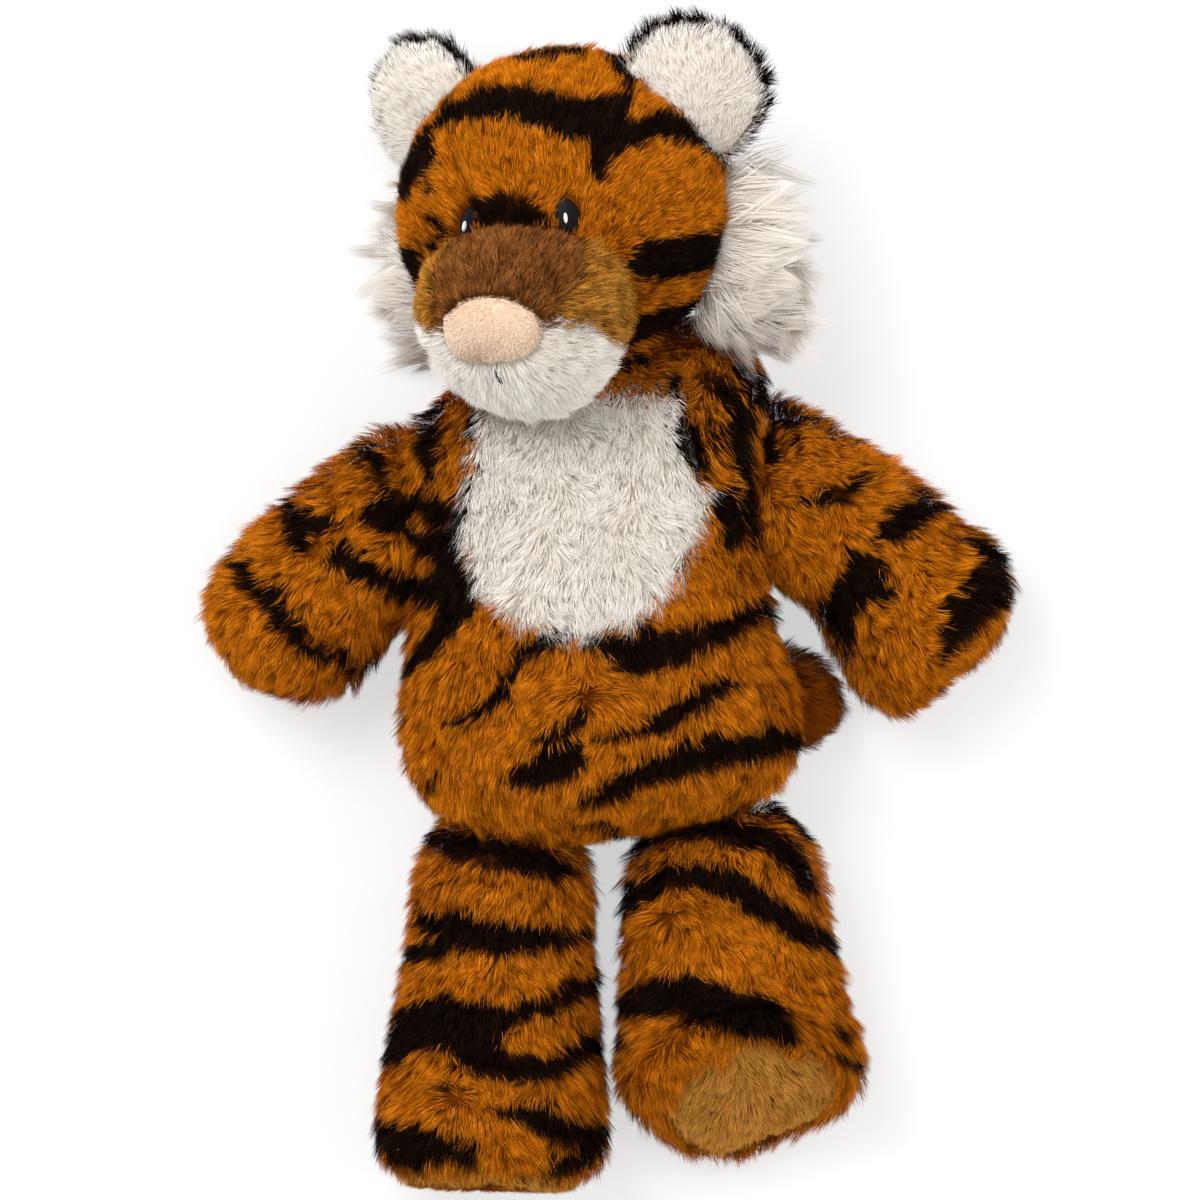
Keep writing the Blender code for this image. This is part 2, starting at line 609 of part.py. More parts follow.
head_inner = cutter("head_inner", egg("head_inner", SKIN), head)
head_guard = cutter("head_guard", egg("head_guard", -SEAM_GAP), head)
fill_guard = cutter("head_fill_guard", egg("head_fill_guard", SKIN), head)
muzzle_inner = cutter("muzzle_inner", muzzle_mesh("muzzle_inner", SKIN), head)
muzzle_guard = cutter("muzzle_guard", muzzle_mesh("muzzle_guard", -SEAM_GAP), head)
head_skin = piece("head_skin", egg("head_skin", 0.0), "orange_plush", head)
for tool in (head_inner, muzzle_inner, neck_seat, floor):
    cut(head_skin, tool)
head_fill = piece("head_stuffing", egg("head_stuffing", fill_inset), "fibre_fill", head)
cut(head_fill, neck_seat)
muzzle_fill = piece("muzzle_stuffing", muzzle_mesh("muzzle_stuffing", fill_inset), "fibre_fill", head)
cut(muzzle_fill, fill_guard)

# The muzzle's four panels meet in a seam across it and in two beside the bridge
far = MUZZLE_HALF_WIDTH + OVERRUN
front = MUZZLE_LENGTH + OVERRUN
half_gap = SEAM_GAP / 2.0
panels = {
    "muzzle_bridge": ("brown_plush", (-BRIDGE_HALF_WIDTH, CHIN_LINE + half_gap, -far),
                      (BRIDGE_HALF_WIDTH, far, front)),
    "muzzle_left": ("tan_plush", (-far, CHIN_LINE + half_gap, -far),
                    (-BRIDGE_HALF_WIDTH - SEAM_GAP, far, front)),
    "muzzle_right": ("tan_plush", (BRIDGE_HALF_WIDTH + SEAM_GAP, CHIN_LINE + half_gap, -far),
                     (far, far, front)),
    "muzzle_chin": ("white_plush", (-far, -far, -far), (far, CHIN_LINE - half_gap, front)),
}
muzzle_panels = []
for name, (colour, low, high) in panels.items():
    panel = piece(name, muzzle_mesh(name, 0.0), colour, head)
    muzzle_panels.append(panel)
    block = box(f"{name}_block", muzzle_middle + Vector(low), muzzle_middle + Vector(high))
    cut(panel, muzzle_inner)
    cut(panel, cutter(f"{name}_block", block, head), "INTERSECT")
    cut(panel, head_guard)

# Nose, seated on the muzzle's tip, and the stitch below it
tip = muzzle_middle + Vector((0.0, NOSE_UP, MUZZLE_LENGTH - NOSE_SINK))
nose = piece("nose", ball("nose", (NOSE_HALF_WIDTH, NOSE_HALF_HEIGHT, NOSE_HALF_DEPTH), tip,
                          sides=TRIM_SIDES, rings=10), "nose_plush", head)
cut(nose, muzzle_guard)
stitch_y = NOSE_UP - NOSE_HALF_HEIGHT - STITCH_GAP


def muzzle_depth(y):
    """How far the muzzle stands out at a height on its middle line."""
    reach_down = MUZZLE_CHIN if y < 0.0 else MUZZLE_BRIDGE
    lean = math.sqrt(1.0 - (y / reach_down) ** 2)
    return MUZZLE_LENGTH - MUZZLE_TIP_ROUND * (1.0 - lean)


stitch_end = stitch_y - STITCH_LENGTH
stitch_middle = muzzle_middle + Vector((0.0, (stitch_y + stitch_end) / 2.0,
                                        muzzle_depth((stitch_y + stitch_end) / 2.0)))
stitch_lean = Matrix.Rotation(math.atan2(muzzle_depth(stitch_y) - muzzle_depth(stitch_end),
                                         stitch_y - stitch_end), 3, "X")
stitch = piece("mouth_stitch", ball("mouth_stitch", (STITCH_RADIUS, STITCH_LENGTH / 2.0, STITCH_RADIUS * 2.0),
                                    stitch_middle, stitch_lean, 10, 8), "embroidery", head)
cut(stitch, muzzle_guard)

# Eyes: raised embroidery on the face, each with a small light stitch on it
for name, side in (("left", -1.0), ("right", 1.0)):
    x = EYE_MIDDLE + side * EYE_APART / 2.0
    place = head_middle + Vector((x, EYE_UP, face_depth(x, EYE_UP)))
    normal = Vector((x / HEAD_HALF_WIDTH ** 2, EYE_UP / HEAD_CROWN ** 2,
                     face_depth(x, EYE_UP) / HEAD_FACE ** 2)).normalized()
    lean = Vector((0.0, 0.0, 1.0)).rotation_difference(normal).to_matrix()
    grow = EYE_THICK * 2.0
    eye = piece(f"eye_{name}", ball(f"eye_{name}", (EYE_HALF_WIDTH, EYE_HALF_HEIGHT, grow),
                                    place - normal * EYE_THICK, lean, 14, 8), "embroidery", head)
    cut(eye, head_guard)
    eye_guard = cutter(f"eye_{name}_guard", ball(f"eye_{name}_guard",
                       (EYE_HALF_WIDTH + SEAM_GAP, EYE_HALF_HEIGHT + SEAM_GAP, grow + SEAM_GAP),
                       place - normal * EYE_THICK, lean, 14, 8), head)
    for panel in muzzle_panels:
        cut(panel, eye_guard)
    glint = piece(f"eye_glint_{name}", ball(f"eye_glint_{name}",
                  (GLINT_HALF_WIDTH, GLINT_HALF_HEIGHT, GLINT_THICK * 2.0),
                  place + normal * EYE_THICK, lean, 8, 6), "white_thread", head)
    cut(glint, eye_guard)

# Ears: a pale front and a dark back, sewn rim to rim and set on the head
for name, side in (("left", -1.0), ("right", 1.0)):
    place = head_middle + Vector((side * EAR_OUT, EAR_UP, -EAR_BEHIND))
    turn = Matrix.Rotation(math.radians(side * EAR_SPLAY_DEG), 3, "Y")
    for layer, sign, colour in (("front", 1.0, "white_plush"), ("back", -1.0, "dark_plush")):
        mesh = ball(f"ear_{name}_{layer}", (EAR_RADIUS, EAR_RADIUS, EAR_THICK), (0.0, 0.0, 0.0),
                    sides=TRIM_SIDES, rings=8)
        build = bmesh.new()
        build.from_mesh(mesh)
        bmesh.ops.bisect_plane(build, geom=build.verts[:] + build.edges[:] + build.faces[:],
                               plane_co=(0.0, 0.0, sign * half_gap), plane_no=(0.0, 0.0, -sign),
                               clear_outer=True)
        bmesh.ops.contextual_create(build, geom=[edge for edge in build.edges if edge.is_boundary])
        build.transform(Matrix.Translation(place) @ turn.to_4x4())
        bmesh.ops.recalc_face_normals(build, faces=build.faces)
        build.to_mesh(mesh)
        build.free()
        layer_piece = piece(f"ear_{name}_{layer}", mesh, colour, head)
        cut(layer_piece, head_guard)
    tilt = Matrix.Rotation(math.radians(side * MANE_TILT_DEG), 3, "Z")
    place = head_middle + Vector((side * MANE_OUT, -MANE_DOWN, -MANE_BEHIND))
    mane = piece(f"cheek_mane_{name}", ball(f"cheek_mane_{name}",
                 (MANE_HALF_WIDTH, MANE_HALF_HEIGHT, MANE_HALF_DEPTH), place, tilt, TRIM_SIDES, 10, "Y"),
                 "white_plush", head)
    cut(mane, head_guard)
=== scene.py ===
import math

import bmesh
import bpy
import numpy as np
from mathutils import Matrix, Vector
from mathutils.bvhtree import BVHTree
from mathutils.kdtree import KDTree


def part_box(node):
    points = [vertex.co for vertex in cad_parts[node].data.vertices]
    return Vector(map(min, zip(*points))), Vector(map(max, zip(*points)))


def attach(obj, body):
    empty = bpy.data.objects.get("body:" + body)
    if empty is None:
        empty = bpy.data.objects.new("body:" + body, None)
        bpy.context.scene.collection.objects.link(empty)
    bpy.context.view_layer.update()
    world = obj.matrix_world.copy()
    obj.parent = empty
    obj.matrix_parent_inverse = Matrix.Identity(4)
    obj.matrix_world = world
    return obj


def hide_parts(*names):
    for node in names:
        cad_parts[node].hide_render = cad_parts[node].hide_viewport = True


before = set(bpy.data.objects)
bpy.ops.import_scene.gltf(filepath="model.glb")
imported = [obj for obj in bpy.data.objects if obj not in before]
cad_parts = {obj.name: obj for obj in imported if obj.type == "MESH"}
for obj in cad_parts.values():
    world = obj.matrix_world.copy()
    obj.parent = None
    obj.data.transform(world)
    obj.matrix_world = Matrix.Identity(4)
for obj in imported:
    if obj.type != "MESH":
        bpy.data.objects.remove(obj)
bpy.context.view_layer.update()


# Torso. The real body is one bag of striped plush with a pile of about 8 mm, cut from knitted fur
# cloth, sewn down its sides and stuffed through the back. The stripes are printed on the pile, so
# each hair takes the print of the place where its outer part lies.

MM = 0.001
PILE = 8
# The spots where soft cloth is pulled into its lie, by part: x, y, reach, right and up, in mm.
PULLS = {"torso": [(34, 71, 16, 3, 6), (44, 61, 13, 3, 4), (24, 78, 11, 0, 4), (55, 2, 16, -3, 0),
                   (-46, 62, 12, 0, -6), (12, -62, 24, 0, 3.5)]}
# A stripe is a line of places, each with its x, its y and half the stripe's width there, in mm.
TORSO_STRIPES = [
    [(-53, 32, 3), (-46, 31, 4.6), (-40, 27, 4)],
    [(-52, 22, 3), (-46, 20, 4.6), (-40, 17, 4)],
    [(-54, 10, 3.6), (-47, 7, 4.6), (-40, 7, 4)],
    [(-47, 60, 2.8), (-46, 52, 4.2), (-46, 45, 3.6), (-45, 39, 1.4)],
    [(-31, 57, 2), (-33, 53, 2.5), (-35, 49, 1.4)],
    [(31, 68, 2), (37, 63, 3.6), (42, 58, 4.2), (44, 50, 3.1)],
    [(42, 69, 2.5), (47, 64, 4.5), (52, 60, 4)],
    [(-31, 44, 1.1), (-35, 33, 2.8), (-38, 22, 4.2), (-39, 13, 6.2), (-37, 5, 6.2), (-42, -3, 3.9),
     (-48, -10, 3.1), (-54, -16, 1.7)],
    [(23, 66, 1.8), (24, 58, 2.6), (25, 51, 4.6), (29, 44, 3.6), (31, 39, 1.6)],
    [(41, 60, 3), (42, 50, 3.4), (43, 40, 2.8), (44, 33, 2)],
    [(33, 54, 1.2), (35, 47, 2)],
    [(34, 35, 2), (38, 32, 4), (40, 25, 4.4), (38, 20, 2.4)],
    [(39, 53, 2.2), (44, 41, 2.8), (45, 30, 3.1), (46, 21, 2)],
    [(-4, -3, 1.1), (3, -7, 3.1), (11, -10, 6.7), (20, -9, 5.6), (30, -6, 3.9), (41, -2, 3.4),
     (48, 2, 3.9), (54, -1, 2.5)],
    [(2, -34, 1.7), (13, -32, 2.2), (22, -27, 3.4), (28, -24, 3.6), (34, -20, 3.1), (42, -19, 1.1)],
    [(-3, -52, 1.7), (7, -48, 3.6), (19, -42, 4.5), (31, -38, 4.8), (43, -36, 4.8), (56, -35, 3.9)],
    [(1, -2, 0.8), (-10, -5, 2.5), (-19, -10, 2.5), (-24, -16, 2.2), (-26, -22, 2.2), (-32, -27, 2.5),
     (-40, -29, 1.7)],
    [(-15, -35, 2), (-8, -32, 3.1), (-2, -26, 1.7)],
    [(-23, -45, 2), (-16, -43, 4.5), (-9, -41, 5), (-3, -38, 2.5)],
    [(-48, -47, 0.8), (-45, -47, 1.7)],
    [(-6, -57, 0.8), (2, -59, 1.7), (8, -61, 1.4)],
]
TORSO_BACK_STRIPES = [
    [(-43, 55, 2.2), (-20, 50, 3.6), (2, 51, 3.9), (30, 54, 2.8), (44, 58, 1.7)],
    [(-34, 33, 1.7), (-15, 31, 3.9), (5, 34, 3.6), (30, 30, 2.5)],
    [(-38, 16, 2.5), (-17, 13, 3.6), (2, 15, 4.2), (25, 11, 3.4), (47, 16, 2.2)],
    [(-48, -23, 2.2), (-26, -26, 3.4), (2, -25, 3.9), (30, -26, 3.1)],
    [(-43, -45, 2), (-20, -43, 3.4), (8, -45, 3.6), (36, -51, 2.5)],
]


def srgb(red, green, blue):
    """A colour as the eye reads it, from 0 to 255, as the linear colour that a shader takes."""
    shares = [channel / 255 for channel in (red, green, blue)]
    linear = [s / 12.92 if s <= 0.04045 else ((s + 0.055) / 1.055) ** 2.4 for s in shares]
    return (*linear, 1.0)


def ripple(places, reach, seed):
    """Seven waves in one: a soft value, mostly from -1 to 1, that changes over about `reach` metres."""
    waves = np.random.default_rng(seed)
    total = np.zeros(len(places))
    for _ in range(7):
        heading = waves.normal(size=3)
        heading /= np.linalg.norm(heading)
        pace = 2 * math.pi / reach * waves.uniform(0.6, 1.5)
        total += np.sin(places @ heading * pace + waves.uniform(0, 2 * math.pi))
    return total / 3


def coaxed(places, part):
    """Where the soft cloth of a part ends up when it is pulled into its lie at a few spots, as by hand."""
    moved = places.copy()
    for x, y, reach, right, up in PULLS.get(part, ()):
        far = np.linalg.norm(places[:, :2] - np.array((x, y)) * MM, axis=1) / (reach * MM)
        moved[:, :2] += np.exp(-far ** 2)[:, None] * np.array((right, up)) * MM
    return moved


PRINT_EDGE = 2.4 * MM


def print_of(places, stripes):
    """How far each place is inside a printed stripe, from 0 on plain cloth to 1. The stripes wander
    a little, over 11 mm, and their edges are ragged, over 3 mm."""
    flat = places[:, :2]
    for reach, depth, seed in ((11, 0.8, 1), (3, 0.5, 3)):
        sway = np.column_stack([ripple(places, reach * MM, seed), ripple(places, reach * MM, seed + 1)])
        flat = flat + sway * depth * MM
    inside = np.full(len(places), -1.0)
    for stripe in stripes:
        stops = np.array(stripe, float) * MM
        for start, end in zip(stops[:-1], stops[1:]):
            run = end[:2] - start[:2]
            share = np.clip((flat - start[:2]) @ run / (run @ run), 0, 1)
            gap = np.linalg.norm(flat - start[:2] - share[:, None] * run, axis=1)
            inside = np.maximum(inside, start[2] + share * (end[2] - start[2]) - gap)
    return np.clip(inside / PRINT_EDGE + 0.5, 0, 1)


def printed(part, front, back=None):
    """The print of a part: the stripes seen from above, and on its under side those of the back. The
    two blend into each other where the cloth turns down."""

    def dye(places, normals):
        spots = coaxed(places, part)
        upper = print_of(spots, front)
        if back is None:
            return upper
        under = np.clip(-normals[:, 2] * 4 - 0.6, 0, 1)
        return upper * (1 - under) + print_of(spots, back) * under

    return dye


SWIRL_PULL = 1.15


def combed(toward, swirls=(), away=None, pull=1.0):
    """Which way the pile lies: toward a heading, away from a place, and out of each swirl, which has
    its x, its y and its reach in mm."""

    def comb(roots):
        flow = np.tile(np.array(toward, float), (len(roots), 1))
        if away is not None:
            out = roots - np.array(away)
            flow += pull * out / np.linalg.norm(out, axis=1)[:, None]
        for x, y, reach in swirls:
            out = roots[:, :2] - np.array((x, y)) * MM
            far = np.linalg.norm(out, axis=1) + 0.1 * MM
            fade = np.exp(-((far / (reach * MM)) ** 2))
            flow[:, :2] += out / far[:, None] * SWIRL_PULL * fade[:, None]
        return flow

    return comb


def places_of(mesh, what="co"):
    """The places, or the normals, of a mesh's vertices."""
    found = np.empty(len(mesh.vertices) * 3)
    mesh.vertices.foreach_get(what, found)
    return found.reshape(-1, 3)


FLOOR_GAP = 1.2 * MM
SEAM = 0.02 * MM


def cloth_from(node, name, rounds=1):
    """The cloth of one sewn panel: its cut shape copied, its seams merged, its faces rounded. Where
    the toy lies on the floor, the pile under it holds the cloth just clear."""
    bpy.ops.object.select_all(action="DESELECT")
    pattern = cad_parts[node]
    pattern.select_set(True)
    bpy.context.view_layer.objects.active = pattern
    bpy.ops.object.duplicate()
    cloth = bpy.context.active_object
    cloth.parent = None
    for tag in list(cloth.keys()):
        del cloth[tag]
    cloth.name = name
    cloth.data.name = name
    cloth.data.materials.clear()
    bpy.ops.object.mode_set(mode="EDIT")
    bpy.ops.mesh.select_all(action="SELECT")
    bpy.ops.mesh.remove_doubles(threshold=SEAM)
    bpy.ops.mesh.tris_convert_to_quads(face_threshold=0.7, shape_threshold=0.9)
    bpy.ops.object.mode_set(mode="OBJECT")
    if rounds:
        rounding = cloth.modifiers.new("rounding", "SUBSURF")
        rounding.levels = rounds
        rounding.render_levels = rounds
        bpy.ops.object.modifier_apply(modifier=rounding.name)
    places = places_of(cloth.data)
    places[:, 2] = np.maximum(places[:, 2], FLOOR_GAP)
    cloth.data.vertices.foreach_set("co", places.astype(np.float32).ravel())
    bpy.ops.object.shade_smooth()
    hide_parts(node)
    return cloth


def mark(mesh, name, values):
    """Keeps a value at each vertex, which the materials read by its name."""
    mesh.attributes.new(name, "FLOAT", "POINT").data.foreach_set("value", values.astype(np.float32))


def ground(cloth, dye, tip=0.25, seed=5):
    """Prints the knitted ground that shows between the hairs, painted as dark as a hair at `tip` of its
    length as shade down in the pile, with painted shade in some spots of it.
    """
    places, normals = places_of(cloth.data), places_of(cloth.data, "normal")
    mark(cloth.data, "dye", dye(places, normals) if dye else np.zeros(len(places)))
    mark(cloth.data, "tip", np.full(len(places), tip))
    mark(cloth.data, "hair", 0.5 + 0.3 * ripple(places, 6 * MM, seed))


def tree_of(*nodes):
    """What lies against a panel, for finding where its pile is covered."""
    joined = bmesh.new()
    for node in nodes:
        joined.from_mesh(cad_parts[node].data)
    tree = BVHTree.FromBMesh(joined)
    joined.free()
    return tree


def unit(rows):
    """The rows with each one's length made 1."""
    return rows / np.maximum(np.linalg.norm(rows, axis=1), 1e-12)[:, None]


def scattered(mesh, per_mm2, dice):
    """Random places all over a mesh, so many to a square millimetre, and the way out at each."""
    mesh.calc_loop_triangles()
    corners = np.empty(len(mesh.loop_triangles) * 3, np.int32)
    mesh.loop_triangles.foreach_get("vertices", corners)
    corners = corners.reshape(-1, 3)
    places, normals = places_of(mesh), places_of(mesh, "normal")
    first, second, third = (places[corners[:, k]] for k in range(3))
    area = np.linalg.norm(np.cross(second - first, third - first), axis=1) / 2
    total = int(area.sum() / MM ** 2 * per_mm2)
    spots = (np.arange(total) + dice.random(total)) / total
    face = np.minimum(np.searchsorted(np.cumsum(area) / area.sum(), spots), len(area) - 1)
    across, along = np.sqrt(dice.random(total)), dice.random(total)
    shares = np.column_stack([1 - across, across * (1 - along), across * along])
    roots = sum(shares[:, k, None] * places[corners[face, k]] for k in range(3))
    up = unit(sum(shares[:, k, None] * normals[corners[face, k]] for k in range(3)))
    return roots, up


# A piece that lies between these two heights over a root, in mm, covers it.
COVER_START = 0.1
COVER_REACH = 2.2


def bare(roots, up, covers):
    """Which roots have nothing lying close against them, so that a hair can grow there."""
    tree = tree_of(*covers)
    grows = np.ones(len(roots), bool)
    for i, root in enumerate(roots):
        normal = Vector(up[i])
        start = Vector(root) + normal * COVER_START * MM
        grows[i] = tree.ray_cast(start, normal, COVER_REACH * MM)[0] is None
    return grows


# A blade's two triangles, and where its four places lie in its cell of the map.
BLADE_CORNERS = np.array([0, 2, 1, 1, 2, 3])
BLADE_ON_CELL = [(0.5, 0.15), (0.2, 0.55), (0.8, 0.55), (0.5, 0.85)]


def blades(name, line, half):
    """A mesh of thin blades. Each has a root, two places at its bend and a tip, and two triangles."""
    count = len(half)
    points = np.stack([line[0], line[1] - half, line[1] + half, line[2]], axis=1)
    fur = bpy.data.meshes.new(name)
    fur.vertices.add(4 * count)
    fur.vertices.foreach_set("co", points.astype(np.float32).ravel())
    fur.loops.add(6 * count)
    corners = BLADE_CORNERS + 4 * np.arange(count)[:, None]
    fur.loops.foreach_set("vertex_index", corners.astype(np.int32).ravel())
    fur.polygons.add(2 * count)
    fur.polygons.foreach_set("loop_start", np.arange(0, 6 * count, 3, dtype=np.int32))
    fur.update(calc_edges=True)
    fur.shade_smooth()
    return fur


def lay_out(fur, roots):
    """Gives each hair a cell of its own on the map for baking, named OFBake, near its neighbours' cells."""
    count = len(roots)
    grid = math.ceil(math.sqrt(count))
    order = np.lexsort((roots[:, 0], np.argsort(np.argsort(roots[:, 1])) // grid))
    cell = np.empty(count, int)
    cell[order] = np.arange(count)
    spot = np.stack([cell % grid, cell // grid], axis=1)[:, None] + np.array(BLADE_ON_CELL)
    baked = fur.uv_layers.new(name="OFBake")
    baked.data.foreach_set("uv", (spot[:, BLADE_CORNERS] / grid).astype(np.float32).ravel())


# Where along a hair its blade is broadest and bends, and where its print is read.
BEND = 0.55
PRINT_SPOT = 0.75
# Over what reach the heading, the length and the lean of a pile change together, by how much its
# lean does, and how far each single hair strays from its neighbours in its heading, its length, its
# lean in degrees, its twist and its width.
HEADING_REACH = 18 * MM
LENGTH_REACH = 5 * MM
LEAN_REACH = 14 * MM
LEAN_CHANGE = 0.12
STRAY_HEADING = 0.34
STRAY_LENGTH = 0.08
STRAY_LEAN = 5
STRAY_TWIST = 0.55
WIDTHS = (0.75, 1.25)
# How far inside a stripe's soft edge a hair has to be to take the print, from the first to the last.
INK_TAKES = (0.08, 0.92)
# The least height of a root over the floor in mm, and how much more it is at a tip.
ROOT_LEVEL = 0.15
TIP_LEVEL = 0.5


def pile_on(cloth, name, length, comb, dye=None, covers=(), where=None, per_mm2=6.0, blade=0.17,
            lean=46, tuft=3.0, gather=0.5, swirl=0.5, uneven=0.2, soft=0.6, seed=1):
    """Grows a pile out of a cloth. Each hair is a thin bent blade, `length` long and `blade` wide in mm,
    that leans by `lean` degrees. Neighbours gather into tufts of about `tuft` square mm."""
    dice = np.random.default_rng(seed)
    roots, up = scattered(cloth.data, per_mm2, dice)
    if where is not None:
        picked = where(roots, up)
        roots, up = roots[picked], up[picked]
    if covers:
        picked = bare(roots, up, covers)
        roots, up = roots[picked], up[picked]
    count = len(roots)
    flow = comb(roots)
    lie = unit(flow - np.sum(flow * up, axis=1)[:, None] * up)
    turn = swirl * ripple(roots, HEADING_REACH, seed + 11) + dice.normal(0, STRAY_HEADING, count)
    lie = lie * np.cos(turn)[:, None] + np.cross(up, lie) * np.sin(turn)[:, None]
    longer = uneven * ripple(roots, LENGTH_REACH, seed + 12)
    reach = length * MM * (1 + longer + dice.normal(0, STRAY_LENGTH, count))
    flatter = LEAN_CHANGE * ripple(roots, LEAN_REACH, seed + 13)
    tilt = np.radians(lean * (1 + flatter) + dice.normal(0, STRAY_LEAN, count))
    rise, slide = reach * np.cos(tilt), reach * np.sin(tilt)

    def point(share, who):
        """Where the hairs are at a share of their length. Each rises first and then bends over."""
        lifted = (rise[who] * (1.5 * share - 0.5 * share ** 2))[:, None] * up[who]
        laid = (slide[who] * (0.5 * share + 0.5 * share ** 2))[:, None] * lie[who]
        return roots[who] + lifted + laid

    heads = np.flatnonzero(dice.random(count) < 1 / (per_mm2 * tuft))
    tree = KDTree(len(heads))
    for k, i in enumerate(heads):
        tree.insert(roots[i], k)
    tree.balance()
    leader = heads[[tree.find(root)[1] for root in roots]]
    everyone = np.arange(count)
    line = []
    for share in (0, BEND, 1):
        here = point(share, everyone)
        here += (point(share, leader) - here) * gather * share ** 1.5
        here[:, 2] = np.maximum(here[:, 2], (ROOT_LEVEL + TIP_LEVEL * share) * MM)
        line.append(here)
    heading = unit(line[2] - line[0])
    side = unit(np.cross(heading, up))
    twist = dice.normal(0, STRAY_TWIST, count)
    side = side * np.cos(twist)[:, None] + np.cross(heading, side) * np.sin(twist)[:, None]
    half = side * (blade * MM / 2 * dice.uniform(*WIDTHS, count))[:, None]
    fur = blades(name, line, half)
    faces_out = unit(np.cross(side, heading))
    faces_out *= np.where(np.sum(faces_out * up, axis=1) < 0, -1, 1)[:, None]
    rounded = unit(soft * up + (1 - soft) * faces_out)
    fur.normals_split_custom_set_from_vertices(np.repeat(rounded, 4, axis=0))
    ink = np.zeros(count)
    if dye:
        ink = (dye(point(PRINT_SPOT, everyone), up) > dice.uniform(*INK_TAKES, count)).astype(float)
    mark(fur, "dye", np.repeat(ink, 4))
    # Each place's share along its hair, and a random value for each hair: from these the material paints
    # shade at the roots and highlights at some tips, and it takes its roughness from the second.
    mark(fur, "tip", np.tile([0.0, BEND, BEND, 1.0], count))
    mark(fur, "hair", np.repeat(dice.random(count), 4))
    lay_out(fur, roots)
    piece = bpy.data.objects.new(name, fur)
    bpy.context.scene.collection.objects.link(piece)
    return piece


# A root is on the under side where its way out points down by more than this.
UNDER_SIDE = -0.1


def above(roots, up):
    """Picks the pile of the side that shows from above."""
    return up[:, 2] > UNDER_SIDE


def below(roots, up):
    """Picks the pile of the under side."""
    return up[:, 2] <= UNDER_SIDE


def past(line, along=1):
    """Picks the pile on the far side of a line of (x, y) places in mm, which runs along x (0) or y (1)."""
    stops = np.array(line) * MM

    def picks(roots, up):
        return roots[:, 1 - along] > np.interp(roots[:, along], stops[:, along], stops[:, 1 - along])

    return picks


def shader_node(tree, kind, place, **sockets):
    """Adds one shader node, with the values of its named sockets."""
    made = tree.nodes.new(kind)
    made.location = (place[0] * 200, place[1] * -180)
    for socket, value in sockets.items():
        made.inputs[socket.replace("_", " ")].default_value = value
    return made


def feed(tree, socket, value):
    """Gives a socket its value, or links it to the other node's socket that is given as the value."""
    if isinstance(value, bpy.types.NodeSocket):
        tree.links.new(value, socket)
    else:
        socket.default_value = value


def mixed(tree, place, share, low, high):
    """Mixes two colours by a share. A Mix node holds these as its sockets 0, 6 and 7."""
    mix = shader_node(tree, "ShaderNodeMix", place)
    mix.data_type = "RGBA"
    for k, value in ((0, share), (6, low), (7, high)):
        feed(tree, mix.inputs[k], value)
    return mix.outputs[2]


def worked_out(tree, place, operation, first, second):
    """The outcome of one sum with two values."""
    made = shader_node(tree, "ShaderNodeMath", place)
    made.operation = operation
    feed(tree, made.inputs[0], first)
    feed(tree, made.inputs[1], second)
    return made.outputs[0]


def kept(tree, place, name):
    """The value that `mark` keeps at each vertex under a name."""
    made = shader_node(tree, "ShaderNodeAttribute", place)
    made.attribute_name = name
    return made.outputs["Fac"]


def ranged(tree, place, value, **limits):
    """A value brought from one range to another."""
    made = shader_node(tree, "ShaderNodeMapRange", place, **limits)
    tree.links.new(value, made.inputs["Value"])
    return made


